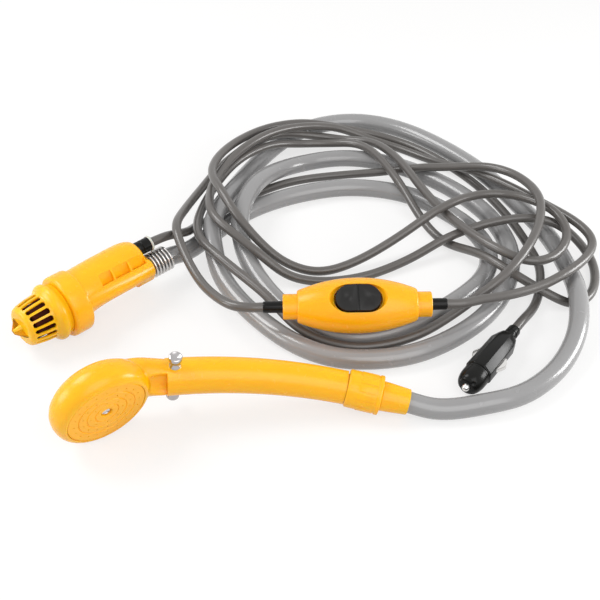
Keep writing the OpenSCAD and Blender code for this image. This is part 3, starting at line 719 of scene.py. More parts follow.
@dataclass
class Cord:
    """A hose or cable that lies along a route of given points, in millimetres."""

    name: str
    diameter: float
    start: list[Vector]
    points: list[Triple]
    end: list[Vector]
    steps: int = 8
    passes: int = 8

    def line(self) -> list[Vector]:
        """Centre line in metres: a smooth curve through the points, on or above the floor.

        Returns:
            Its points.
        """
        radius = self.diameter / 2
        knots = list(self.start) + [Vector((x, y, z + radius)) for x, y, z in self.points] + list(self.end)
        knots = [2 * knots[0] - knots[1]] + knots + [2 * knots[-1] - knots[-2]]
        path = []
        for i in range(1, len(knots) - 2):
            for k in range(self.steps):
                at = [curve_at(*v, k / self.steps) for v in zip(*knots[i - 1 : i + 3])]
                path.append(Vector((at[0], at[1], max(at[2], radius))))
        path.append(knots[-2])
        for _ in range(self.passes):
            path = [path[0]] + [
                (a + 2 * b + c) / 4 for a, b, c in zip(path, path[1:], path[2:])
            ] + [path[-1]]
        return [(p + LAY) * MM for p in path]

    def build(self) -> tuple[Piece, list[Vector]]:
        """Draw the cord as a round tube on its line.

        Returns:
            The curve object and its centre line.
        """
        path = self.line()
        curve = bpy.data.curves.new(self.name, "CURVE")
        curve.dimensions = "3D"
        curve.bevel_depth = self.diameter / 2 * MM
        curve.bevel_resolution = 6
        curve.use_fill_caps = True
        spline = curve.splines.new("POLY")
        spline.points.add(len(path) - 1)
        for point, at in zip(spline.points, path):
            point.co = (*at, 1.0)
        spline.use_smooth = True
        obj = bpy.data.objects.new(self.name, curve)
        bpy.context.collection.objects.link(obj)
        return obj, path


def before_lay(matrix: Matrix, at: Triple) -> Vector:
    """A point of a frame, in millimetres, before the shift over the row's origin."""
    return matrix @ (Vector(at) * MM) / MM - LAY


def heading(matrix: Matrix) -> Vector:
    """Direction of a frame's X axis."""
    return matrix.to_3x3() @ Vector((1.0, 0.0, 0.0))


@dataclass
class Cords:
    """The water hose and the two lengths of cable, wound in loose turns.

    A lead is the straight stretch at a fitting, and a dip is how far its end sinks.
    """

    hose_d: float = 12.5
    cable_d: float = 6.0
    pump_lead: float = 18.0
    pump_dip: float = 0.5
    nut_lead: float = 19.0
    gland_lead: float = 14.0
    gland_dip: float = 1.5
    right_lead: float = 10.0
    left_lead: float = 9.0
    plug_lead: float = 11.0
    hose_points: list[Triple] = field(default_factory=lambda: [
        (-20, 106, 6), (-9, 126, 1.5), (8, 150, 0),
        (28, 168, 0), (55, 182, 0), (85, 190, 0), (113, 188, 0), (138, 178, 0), (161, 157, 0),
        (177, 133, 0), (182, 108, 0), (174, 83, 0), (153, 60, 0), (131, 43, 0), (107, 31, 0), (85, 28, 0),
        (62, 37, 0), (43, 58, 0), (28, 81, 3), (18, 105, 7), (14, 130, 12), (17, 154, 14.5), (26, 182, 12),
        (42, 209, 4), (64, 225, 0), (92, 230, 0), (123, 222, 0), (151, 203, 0), (175, 177, 0), (191, 147, 0),
        (197, 113, 0), (190, 79, 0), (173, 49, 0), (150, 27, 0), (124, 12, 0), (97, 7, 0), (72, 10, 0),
        (47, 25, 0), (23, 52, 0), (5, 79, 4), (-2, 103, 11), (-4, 127, 15.5), (1, 149, 14), (7, 173, 9),
        (16, 206, 2), (31, 238, 0), (52, 266, 0), (78, 281, 0), (107, 283, 0), (137, 270, 0), (166, 243, 0),
        (192, 208, 0), (211, 168, 0),
        (226, 130, 0), (231, 95, 2), (231, 60, 7.5), (225, 28, 4), (210, 1, 0), (187, -21, 0), (161, -31, 1),
    ])
    switch_points: list[Triple] = field(default_factory=lambda: [
        (-21, 119, 15.5), (-16, 138, 7), (-7, 155, 1),
        (10, 175, 0), (31, 193, 0), (55, 205, 0), (85, 210, 1), (115, 208, 5), (140, 203, 12),
        (165, 198, 16), (190, 190, 21.5), (208, 173, 25), (217, 144, 29.5), (215, 120, 29), (207, 97, 29),
        (195, 76, 27), (180, 60, 22), (165, 51, 15), (147, 40, 8), (127, 27, 5), (102, 18, 4),
        (78, 18.5, 4.5), (54, 31, 7), (35, 53, 14), (16, 72, 18), (2, 86, 21), (-10, 102, 21.5),
        (-14, 122, 19.5), (-13, 148, 14), (-5, 178, 14), (10, 206, 17), (32, 227, 16.5), (54, 240, 9.5),
        (78, 243, 8),
        (104, 231, 13.5), (124, 188, 14), (140, 150, 4), (155, 126, 1), (174, 97, 14), (191, 76, 15),
        (210, 66, 8), (230, 62, 0), (244, 73, 0), (251, 96, 0), (248, 116, 3), (231, 128, 15), (208, 132, 18),
        (181, 129, 15), (154, 121, 9), (129, 107, 2), (99, 91, 0), (72, 85, 0), (48, 86, 4), (29, 93, 16.5),
        (13, 104, 24), (0, 116, 28), (-6, 132, 29), (-6, 157, 26.5), (0, 183, 24.5), (14, 210, 25),
        (34, 233, 24), (58, 250, 19), (84, 261, 11), (108, 260, 2), (133, 248, 0), (157, 227, 2),
        (182, 199, 12), (205, 174, 15), (225, 147, 18), (241, 124, 20), (248, 106, 19), (242, 90, 18),
        (227, 73, 19), (206, 58, 18.5), (184, 45.5, 21.5), (166, 38.5, 24),
    ])
    plug_points: list[Triple] = field(default_factory=lambda: [
        (13, 32.5, 24.5), (2, 45, 22), (-8, 61, 20.5), (-18, 81, 24), (-26, 103, 31.3), (-23, 131, 25),
        (-15, 167, 17), (-3, 198, 16), (15, 223, 17.5), (38, 245, 15), (64, 253, 9), (88, 252, 6),
        (111, 238, 12), (127, 208, 16.5), (140, 176, 15), (152, 147, 15), (164, 120, 19), (181, 94, 22),
        (202, 80, 21), (221, 89, 19), (232, 109, 21), (228, 130, 23.5), (214, 147, 22.5), (196, 157, 20.5),
        (174, 153, 21.5), (150, 137, 22), (123, 121, 11), (94, 104, 3), (68, 94, 1), (45, 98, 6),
        (27, 108, 17), (12, 122, 29), (1, 142, 35), (-6, 163, 33.5), (-4, 188, 30), (8, 218, 25),
        (30, 246, 20), (58, 263, 14.5), (86, 268, 7), (110, 267, 2), (133, 258, 0), (157, 237, 0),
        (180, 207, 0), (194, 180, 0), (205, 150, 0), (212, 121, 0),
        (215, 100, 0), (211, 77, 0), (204, 58, 1),
    ])

    def build(self) -> dict[str, tuple[Piece, list[Vector]]]:
        """Lay the hose and both cables, and dress them.

        Returns:
            Each cord by name, with its centre line.
        """
        up = Vector((0.0, 0.0, 1.0))
        pump = PumpUnit()
        left, right = LineSwitch().ends()
        hose_out = before_lay(PUMP, (pump.rear, *pump.outlet[1:]))
        gland_out = before_lay(PUMP, (pump.gland_end, *pump.gland_at[1:]))
        hose_end = before_lay(NUT, (HandShower().sleeve_end, 0.0, 0.0))
        switch_left = before_lay(SWITCH, (left, 0.0, 0.0))
        switch_right = before_lay(SWITCH, (right, 0.0, 0.0))
        plug_out = before_lay(PLUG, (VehiclePlug().length, 0.0, 0.0))
        pump_way, nut_way = heading(PUMP), heading(NUT)
        switch_way, plug_way = heading(SWITCH), heading(PLUG)
        hose = Cord(
            "water_hose", self.hose_d, [hose_out, hose_out + self.pump_lead * pump_way - self.pump_dip * up],
            self.hose_points, [hose_end + self.nut_lead * nut_way, hose_end],
        )
        to_switch = Cord(
            "cable_pump_to_switch", self.cable_d,
            [gland_out, gland_out + self.gland_lead * pump_way - self.gland_dip * up],
            self.switch_points, [switch_right + self.right_lead * switch_way, switch_right],
        )
        to_plug = Cord(
            "cable_switch_to_plug", self.cable_d, [switch_left, switch_left - self.left_lead * switch_way],
            self.plug_points, [plug_out + self.plug_lead * plug_way, plug_out],
        )
        laid = {cord.name: cord.build() for cord in (hose, to_switch, to_plug)}
        dress(laid[hose.name][0], hose.name, "hose_grey", HOSE_GREY,
              "hose_pump", "hose_coil", "hose_handset")
        dress(laid[to_switch.name][0], to_switch.name, "cable_grey", CABLE_GREY,
              "cable_pump", "cable_switch_coil")
        dress(laid[to_plug.name][0], to_plug.name, "cable_grey", CABLE_GREY,
              "cable_plug_coil", "cable_plug")
        return laid


# Pump


@dataclass
class PumpUnit:
    """Submersible pump: strainer cap, housing, cable gland and the spring round its hose.

    Places along the pump count from the tip of the star on its nose: the cap's shell runs from
    star to nose and its skirt goes on into the collar, and the housing ends at rear.  Slots
    count from the front of the shell, and a slot's share is half its part of the pitch.
    """

    cap_r: float = 15.0
    nose: float = 32.5
    star: float = 5.5
    slots: int = 18
    slot_from: float = 3.5
    slot_to: float = 15.3
    slot_round: float = 0.6
    slot_share: float = 0.36
    slot_end_share: float = 0.23
    slot_sides: int = 20
    skirt: float = 5.7
    wall: float = 1.3
    fin_half: float = 0.8
    fin_inset: float = 6.4
    fin_turn: float = 20.0
    collar_r: float = 20.0
    body_r: float = 15.0
    rear: float = 98.0
    rib_r: float = 6.5
    pocket_turn: float = 144.0
    pockets: tuple[tuple[float, float], ...] = ((59.0, 68.0), (69.2, 80.5), (81.7, 93.1))
    outlet: Triple = (0.0, -3.0, -2.0)
    gland_at: Triple = (0.0, 2.5, 10.8)
    gland_end: float = 106.5
    spring_r: float = 7.7
    spring_wire: float = 1.6
    spring_l: float = 13.8
    spring_turns: float = 5.5

    def strainer(self) -> Piece:
        """Strainer cap: a slotted shell with a star on its nose and a bead at its foot.

        Returns:
            The piece, in place.
        """
        r, s, n = self.cap_r, self.star, self.nose
        low, high, end = s + self.slot_from, s + self.slot_to, self.slot_round
        shell = lathe([
            (s, 2.0), (s, 6.5), (s, r - 5.5), (s + 0.15, r - 4.6), (s + 0.6, r - 3.6), (s + 1.2, r - 2.9),
            (s + 2.0, r - 2.4), (low - end, r - 2.1), (low, r - 1.93), (s + 4.5, r - 1.7), (s + 6.0, r - 1.4),
            (s + 10.0, r - 0.7), (high, r - 0.17), (high + end, r - 0.12), (n - 10.0, r),
            (n - 9.4, r + 0.45), (n - 8.6, r + 1.5), (n - 7.8, r + 2.5), (n - 6.8, r + 3.2),
            (n - 5.5, r + 3.5), (n - 4.5, r + 3.35), (n - 3.6, r + 2.9), (n - 2.6, r + 2.3),
            (n - 1.6, r + 1.8), (n - 0.7, r + 1.55), (n - 0.2, r + 1.5), (n, r + 1.2), (n, r - 1.06),
            (n + self.skirt, r - 1.06),
        ], sides=self.slot_sides * self.slots)
        cut_faces(shell, lambda c, m: c.x > n + self.skirt - 0.1)
        pitch = 360.0 / self.slots

        def in_slot(centre: Vector, normal: Vector) -> bool:
            """Whether a face lies in a slot; slots narrow at both ends.

            Args:
                centre: the face's centre in millimetres.
                normal: its normal, not used.

            Returns:
                True in a slot.
            """
            across = abs((math.degrees(math.atan2(centre.z, centre.y)) / pitch) % 1.0 - 0.5)
            if low < centre.x < high:
                return across < self.slot_share
            return low - end < centre.x < high + end and across < self.slot_end_share

        cut_faces(shell, in_slot)
        apply(shell, "SOLIDIFY", thickness=self.wall * MM, offset=-1.0, use_even_offset=True)
        ease(shell, 0.2, 2, 40.0)
        reach = r - self.fin_inset
        fin = block((0.0, -reach, -self.fin_half), (s + 0.4, reach, self.fin_half))
        pick(fin, lambda c, m: m.x < -0.9)
        bpy.ops.transform.resize(value=(1.0, 0.17, 0.85), center_override=(0.0, 0.0, 0.0))
        leave()
        fins = around(fin, 2, self.fin_turn)
        hub = lathe([(0.2, 0.6), (0.5, 1.2), (s + 0.4, 2.4)], 24)
        cap = join(ease(fins, 0.2), hub, shell)
        return seat(cap, PUMP, 40.0)

    def housing(self) -> Piece:
        """Pump housing: collar, motor barrel, duct rib, outlet boss and three pockets on its side.

        Returns:
            The piece, in place.
        """
        c, b = self.collar_r, self.body_r
        collar = lathe([
            (32.75, 14.05), (32.75, c - 1.8), (33.1, c - 0.8), (33.8, c - 0.2), (34.7, c), (43.7, c),
            (44.6, c - 0.2), (45.2, c - 0.7), (45.5, c - 1.5), (45.5, 12.0), (38.5, 12.0), (38.5, 14.05),
        ], 96)
        cut_faces(collar, lambda p, n: abs(p.x - 38.5) < 0.01 and p.yz.length < 1.0)
        stations = [
            (44.0, 1.55, 16.25), (47.0, 1.8, 15.75), (50.0, 2.05, 15.35), (54.0, 2.35, 15.1), (60.0, 2.65, b),
            (68.0, 2.82, b), (78.0, 2.9, b), (84.0, 2.9, b), (86.5, 2.9, b - 0.15), (89.0, 2.9, b - 0.45),
            (91.0, 2.88, b - 0.9), (92.8, 2.85, b - 1.6), (93.8, 2.82, b - 2.2), (94.3, 2.8, b - 2.7),
            (94.5, 2.8, b - 3.3),
        ]
        barrel = loft([Ring(x, r, r, o, o) for x, o, r in stations], 96)
        r = self.rib_r
        rib = lathe([(44.0, r), (95.4, r), (96.2, r - 0.4), (96.5, r - 1.1)], 48)
        boss = lathe([(86.5, 8.6), (97.2, 8.6), (97.8, 8.25), (98.0, 7.6)], 56)
        fuse(barrel, place(rib, moved_by((0.0, -8.5, 2.2))), place(boss, moved_by(self.outlet)))
        side = moved_by((0.0, 2.8, 2.8)) @ turned_by((self.pocket_turn, 0.0, 0.0))
        for low, high in self.pockets:
            pocket = block((low, b - 4.2, -4.4), (high, b + 4.0, 3.2))
            for vert in pocket.data.vertices:
                if vert.co.y < b * MM and vert.co.z < 0.0:
                    vert.co.y = (b - 0.7) * MM
            carve(barrel, place(ease(pocket, 0.4, 2), side))
        barb = lathe([(94.0, 4.4), (112.0, 4.4), (113.0, 3.9)], 32)
        whole = join(collar, place(barb, moved_by(self.outlet)), barrel)
        return seat(whole, PUMP, 32.0)

    def gland(self) -> Piece:
        """Black cable gland.

        Returns:
            The piece, in place.
        """
        end = self.gland_end
        body = lathe([
            (89.5, 3.7), (94.3, 3.7), (94.3, 4.5), (94.6, 4.7), (97.1, 4.7), (97.4, 4.3), (98.1, 4.3),
            (98.4, 4.7), (end - 2.6, 4.7), (end - 2.5, 4.69), (end - 0.9, 4.69), (end - 0.4, 4.3),
            (end, 3.7), (end, 3.05),
        ], 40)
        return seat(body, PUMP @ moved_by(self.gland_at))

    def ring(self) -> Piece:
        """Pale clamp ring on the gland's end.

        Returns:
            The piece, in place.
        """
        low, high = self.gland_end - 2.4, self.gland_end - 1.0
        band = lathe([
            (low, 4.72), (low, 5.0), (low + 0.2, 5.2), (high - 0.2, 5.2), (high, 5.0), (high, 4.72),
        ], 48)
        cut_faces(band, lambda p, n: p.yz.length < 1.0)
        apply(band, "SOLIDIFY", thickness=0.3 * MM, offset=-1.0)
        return seat(band, PUMP @ moved_by(self.gland_at))

    def spring(self) -> Piece:
        """Steel spring that keeps the hose from kinking.

        Returns:
            The piece, in place.
        """
        wound = coil(self.spring_r, self.spring_wire, self.spring_l, self.spring_turns, 60.0)
        start = moved_by((self.rear + self.spring_wire, 0.0, 0.0))
        return seat(wound, PUMP @ moved_by(self.outlet) @ start, 60.0)

    def build(self) -> None:
        """Model and dress the pump's visible pieces."""
        dress(self.strainer(), "strainer_nose", "cap_yellow", CAP_YELLOW, "strainer_cap", body=Body.STRAINER)
        dress(self.housing(), "pump_housing", "pump_yellow", YELLOW, "pump_body")
        dress(self.gland(), "gland_black", "black_plastic", BLACK, "cable_gland")
        dress(self.ring(), "gland_clamp", "pale_plastic", PALE, "gland_ring")
        dress(self.spring(), "hose_guard_spring", "steel", SPRING_STEEL, "hose_spring")


# Handset


@dataclass
class HandShower:
    """Hand shower: head, neck, bowed handle, face, studs, coupling nut and hose sleeve.

    The head and the neck are blended on a grid of voxel size by a number of passes.  Grooves
    are radii, nozzles are rings of radius and count, and places of the pads and the sleeve
    count along the nut from its middle.  A pad's share is half its part of the pitch.
    """

    head_r: float = 29.0
    head_t: float = 22.5
    plate_r: float = 23.6
    handle_start: float = 10.7
    handle_end: float = 9.7
    thread_r: float = 8.2
    voxel: float = 0.75
    blend_passes: int = 9
    grooves: Triple = (17.0, 12.0, 7.0)
    nozzles: tuple[tuple[float, int], ...] = ((9.4, 8), (14.4, 14), (19.7, 20))
    nut_r: float = 11.0
    pads: int = 14
    pad_from: float = -3.0
    pad_to: float = 6.6
    pad_share: float = 0.38
    pad_rise: float = 1.02
    sleeve_end: float = 26.25

    def shell(self) -> Piece:
        """Head and neck blended into each other, with the handle stepped onto the neck.

        Returns:
            The piece, in place.
        """
        r, t = self.head_r, self.head_t
        head = lathe([
            (-t, 4.0), (0.1 - t, 8.0), (0.5 - t, 12.0), (1.5 - t, 18.0), (3.9 - t, r - 5.6),
            (7.0 - t, r - 2.2), (10.5 - t, r - 0.4), (-9.5, r - 0.05), (-7.5, r), (-5.6, r - 0.3),
            (-4.0, r - 0.75), (-2.6, r - 1.4), (-1.5, r - 2.2), (-0.6, r - 3.2), (-0.1, r - 4.2),
            (0.0, self.plate_r + 0.6), (0.0, 8.0),
        ], 96)
        place(head, FACE @ Along.Z.matrix())
        neck = loft(fair([
            Ring(-40, 7, 20, -13), Ring(-34, 8.5, 20.2, -8), Ring(-28, 9, 18.6, -4),
            Ring(-20, 9.4, 15.4, -0.6), Ring(-12, 9.7, 12.8, 0.7), Ring(-4, 9.8, 11.0, 1.5),
            Ring(2, 9.4, 10.3, 2.7),
        ]), 64)
        scoop = loft(fair([
            Ring(-27, 0.6, 2.5, -15), Ring(-22, 2.2, 5.5, -14), Ring(-15, 5.0, 8.0, -12.6),
            Ring(-9, 7.2, 9.2, -11.6), Ring(-3, 8.2, 9.6, -11), Ring(4, 8.3, 9.6, -11),
        ]), 48)
        carve(neck, place(scoop, turned_by((-24.0, 0.0, 0.0))))
        place(neck, HAND)
        both = join(head, neck)
        both.data.remesh_voxel_size = self.voxel * MM
        take(both)
        bpy.ops.object.voxel_remesh()
        apply(both, "SMOOTH", factor=0.5, iterations=self.blend_passes)
        recess = lathe([(-3.0, self.plate_r + 0.02), (4.0, self.plate_r + 0.02)], 96)
        carve(both, place(recess, FACE @ Along.Z.matrix()))
        return fuse(both, self.handle())

    def handle(self) -> Piece:
        """Bowed, tapered handle with the bosses of its studs.

        Returns:
            The piece, in place.
        """
        first, last, count = -4.3, NUT_X - 10.5, 24
        rows = [Ring(first - 0.3, self.handle_start - 0.35, self.handle_start - 0.35)]
        for i in range(count + 1):
            x = first + (last - first) * i / count
            r = self.handle_start + (self.handle_end - self.handle_start) * i / count
            rows.append(Ring(x, r, r))
        rows += [Ring(x, self.thread_r, self.thread_r) for x in (last, last + 12.0)]
        grip = loft(rows, 72)
        for vert in grip.data.vertices:
            at = vert.co / MM
            tilt = lean(at.x)
            vert.co = Vector((at.x - at.y * math.sin(tilt), bow(at.x) + at.y * math.cos(tilt), at.z)) * MM
        boss = lathe([(0.0, 3.8), (self.handle_start + 0.2, 3.8), (self.handle_start + 0.6, 3.4)], 32)
        other = copy(boss, Along.MINUS_Z.matrix())
        place(boss, Along.Z.matrix())
        for each in (boss, other):
            fuse(grip, place(each, moved_by((0.0, bow(0.0), 0.0))))
        return place(grip, HAND)

    def face(self) -> Piece:
        """Face plate with ring grooves and nozzle holes.

        Returns:
            The piece, in place.
        """
        profile = [(-2.4, self.plate_r - 0.2), (-0.4, self.plate_r - 0.2), (0.0, self.plate_r - 0.6)]
        for r in self.grooves:
            profile += [(0.0, r + 0.45), (-0.45, r + 0.12), (-0.45, r - 0.12), (0.0, r - 0.45)]
        profile += [(0.0, 3.6), (-0.35, 3.25), (-1.9, 3.2), (-1.9, 1.0)]
        plate = lathe(profile, 128)
        holes = []
        for radius, count in self.nozzles:
            drill = lathe([(-2.0, 0.42), (1.0, 0.42)], 10)
            place(drill, moved_by((0.0, radius, 0.0)))
            holes.append(around(drill, count))
        carve(plate, join(*holes))
        return seat(plate, FACE @ Along.Z.matrix(), 30.0)

    def screw(self) -> Piece:
        """Cross-head screw in the middle of the face.

        Returns:
            The piece, in place.
        """
        head = lathe([
            (-8.0, 1.2), (-7.4, 1.5), (-1.9, 1.5), (-1.9, 2.7), (-1.3, 2.7), (-0.8, 2.2), (-0.6, 1.2),
        ], 40)
        bar = block((-1.3, -1.8, -0.35), (1.0, 1.8, 0.35))
        across = copy(bar, turned_by((90.0, 0.0, 0.0)))
        for slot in (bar, across):
            carve(head, slot)
        return seat(head, FACE @ Along.Z.matrix())

    def studs(self) -> Piece:
        """Two hanger studs with flared heads.

        Returns:
            The piece, in place.
        """
        top = self.handle_start + 9.5
        stud = lathe([
            (5.0, 2.2), (10.9, 2.2), (11.0, 3.3), (11.6, 3.3), (12.4, 2.7), (13.6, 2.2), (14.6, 2.1),
            (15.4, 2.45), (17.3, 3.55), (17.8, 3.8), (top - 0.7, 3.8), (top - 0.2, 3.5), (top, 3.05),
            (top - 1.1, 0.5),
        ], 48)
        other = copy(stud, Along.MINUS_Z.matrix())
        place(stud, Along.Z.matrix())
        pair = join(stud, other)
        return seat(pair, HAND @ moved_by((0.0, bow(0.0), 0.0)))

    def nut(self) -> Piece:
        """Coupling nut with grip pads and an end flange.

        Returns:
            The piece, in place.
        """
        r, low, high = self.nut_r, self.pad_from, self.pad_to
        body = lathe([
            (-10.0, 8.3), (-10.0, r - 0.8), (-9.2, r), (-6.0, r), (low, r), (high, r), (7.6, r),
            (8.0, r + 0.5), (9.6, r + 0.5), (10.0, r + 0.1), (10.0, 7.1), (6.0, 7.1), (6.0, 8.3), (-9.9, 8.3),
        ], 8 * self.pads)
        cut_faces(body, lambda p, n: p.yz.length < 1.0)
        outwards(body)
        pitch = 360.0 / self.pads
        pick(body, lambda p, n: low < p.x < high and p.yz.length > r - 0.5
             and abs((math.degrees(math.atan2(p.z, p.y)) / pitch) % 1.0 - 0.5) < self.pad_share)
        bpy.ops.mesh.extrude_region()
        bpy.ops.transform.resize(value=(1.0, self.pad_rise, self.pad_rise), center_override=(0.0, 0.0, 0.0))
        leave()
        ease(body, 0.18, 2, 40.0)
        return seat(body, NUT)

    def sleeve(self) -> Piece:
        """Tapered sleeve that grips the hose.

        Returns:
            The piece, in place.
        """
        end = self.sleeve_end
        body = lathe([
            (5.75, 6.9), (10.25, 6.9), (10.25, 8.3), (10.6, 8.6), (14.2, 8.42), (end - 1.65, 7.55),
            (end - 0.65, 7.5), (end - 0.2, 7.3), (end, 6.9), (end, 6.2), (22.0, 6.2), (22.0, 4.3),
        ], 72)
        return seat(body, NUT, 30.0)

    def build(self) -> None:
        """Model and dress the hand shower's visible pieces."""
        dress(smooth(self.shell()), "handset_shell", "handset_yellow", YELLOW, "handset_body")
        dress(self.face(), "spray_face", "face_yellow", FACE_YELLOW, "face_plate")
        dress(self.screw(), "spray_face_screw", "steel", STEEL, "face_screw")
        dress(self.studs(), "hanger_stud_pair", "bright_metal", STUD, "hanger_studs")
        dress(self.nut(), "hose_nut", "nut_yellow", YELLOW, "coupling_nut", body=Body.NUT)
        dress(self.sleeve(), "hose_grip_sleeve", "nut_yellow", YELLOW, "hose_sleeve")


# Switch


# Carries X up to Z, Y to X and Z to Y
UPRIGHT = Matrix(((0, 1, 0, 0), (0, 0, 1, 0), (1, 0, 0, 0), (0, 0, 0, 1)))


@dataclass
class LineSwitch:
    """In-line switch: a spindle-shaped case in two halves, a rocker and two cable reliefs.

    Places along it count from its middle.  Seam and pivot are heights over its axis, and the
    paddle's top stands over the pivot.  Each relief reaches past its collar.
    """

    length: float = 72.6
    width: float = 34.4
    height: float = 30.0
    collar: float = 8.6
    seam: float = -1.0
    rocker_l: float = 27.0
    rocker_w: float = 16.6
    pivot: float = 8.0
    paddle_top: float = 6.2
    dimple_r: float = 7.0
    screw_x: float = 25.0
    relief_left: float = 12.0
    relief_right: float = 9.5

    def ends(self) -> tuple[float, float]:
        """Places along the switch where its left and right relief end."""
        out = self.length / 2 + self.collar
        return -out - self.relief_left, out + self.relief_right

    def case(self) -> Piece:
        """Whole case, with the end collars.

        Returns:
            The case, in the switch's frame.
        """
        w, h = self.width / 2, self.height / 2
        swell = [(0.0, 1.0), (10.0, 0.97), (19.0, 0.885), (27.0, 0.765), (33.0, 0.645), (35.4, 0.59)]
        step = [(36.1, 0.555), (36.3, 0.53), (36.3, 0.46), (44.5, 0.455), (44.9, 0.435), (44.9, 0.3)]

        def rings(rows: Sequence[tuple[float, float]], side: int) -> list[Ring]:
            """Cross-sections on one side of the middle, in order along X."""
            return [Ring(side * x, w * f, h * f) for x, f in rows[::side]]

        spindle = fair(rings(swell[1:], -1) + rings(swell, 1))
        return loft(rings(step, -1) + spindle + rings(step, 1), 80)

    def stadium(self, rows: Sequence[tuple[float, float, float]]) -> Piece:
        """Round-ended block along Z.

        Args:
            rows: height, length and width of each level.

        Returns:
            The block, with its long side along X.
        """
        straight = self.rocker_l - self.rocker_w
        rings = [Ring(z, (l - straight) / 2, w / 2) for z, l, w in rows]
        return place(loft(rings, 64, 0.0, straight), UPRIGHT)

    def cover(self) -> Piece:
        """Upper half with the dish and well of the rocker.

        Returns:
            The piece, in place.
        """
        top = half(self.case(), self.seam + 0.06, True)
        l, w = self.rocker_l, self.rocker_w
        dish = self.stadium([(10.6, l + 3.2, w + 1.2), (12.0, l + 5.4, w + 1.5), (14.4, l + 9.6, w + 2.4),
                             (17.0, l + 13.0, w + 3.4)])
        carve(top, dish)
        carve(top, self.stadium([(4.0, l + 2.4, w + 0.8), (16.0, l + 2.4, w + 0.8)]))
        return seat(top, SWITCH, 28.0)

    def base(self) -> Piece:
        """Lower half with its two screw holes.

        Returns:
            The piece, in place.
        """
        low = half(self.case(), self.seam - 0.06, False)
        for x in (-self.screw_x, self.screw_x):
            hole = lathe([(-30.0, 2.65), (-7.7, 2.65)], 32)
            carve(low, place(hole, moved_by((x, 0.0, 0.0)) @ Along.Z.matrix()))
        return seat(low, SWITCH, 28.0)

    def rocker(self) -> Piece:
        """Rocker with a centre line and a dimple on each half.

        Returns:
            The piece, in place.
        """
        l, w = self.rocker_l, self.rocker_w
        top = self.pivot + self.paddle_top
        paddle = self.stadium([(self.pivot - 2.2, l, w), (top, l, w)])
        for s in (-1, 1):
            tool = block((-0.2 if s > 0 else -29.8, -20.0, top), (29.8 if s > 0 else 0.2, 20.0, top + 9.8))
            carve(paddle, place(tool, turned_by((0.0, 5.0 * s, 0.0))))
        carve(paddle, block((-0.35, -20.0, top - 0.6), (0.35, 20.0, top + 2.8)))
        ease(paddle, 0.7, 3, 50.0)
        for s in (-1, 1):
            carve(paddle, ball(self.dimple_r, (s * l / 4, 0.0, top + self.dimple_r - 1.0)))
        return seat(paddle, SWITCH)

    def relief(self, low: float, high: float) -> Piece:
        """Black cable relief between two places along the switch.

        Args:
            low: where it starts, in millimetres.
            high: where it ends.

        Returns:
            The piece, in place.
        """
        way = 1.0 if high > low else -1.0
        rows = [(low, 3.66), (high - 1.2 * way, 3.55), (high - 0.4 * way, 3.45), (high, 3.1), (high, 3.02)]
        return seat(lathe(rows, 40), SWITCH)

    def build(self) -> list[Piece]:
        """Model and dress the switch.

        Returns:
            The dressed pieces.
        """
        end = self.length / 2
        left, right = self.ends()
        return [
            # Both case halves take the deeper orange yellow with painted shade.
            dress(self.cover(), "switch_case_top", "switch_yellow", SWITCH_SHADED_YELLOW, "switch_cover"),
            dress(self.base(), "switch_case_under", "switch_yellow", SWITCH_SHADED_YELLOW, "switch_base"),
            dress(self.rocker(), "switch_paddle", "rocker_black", ROCKER_BLACK, "rocker", body=Body.ROCKER),
            dress(self.relief(1.0 - end, left), "cable_relief_left", "black_plastic", BLACK, "relief_left"),
            dress(self.relief(end - 1.0, right), "cable_relief_right", "black_plastic", BLACK,
                  "relief_right"),
        ]


# Plug


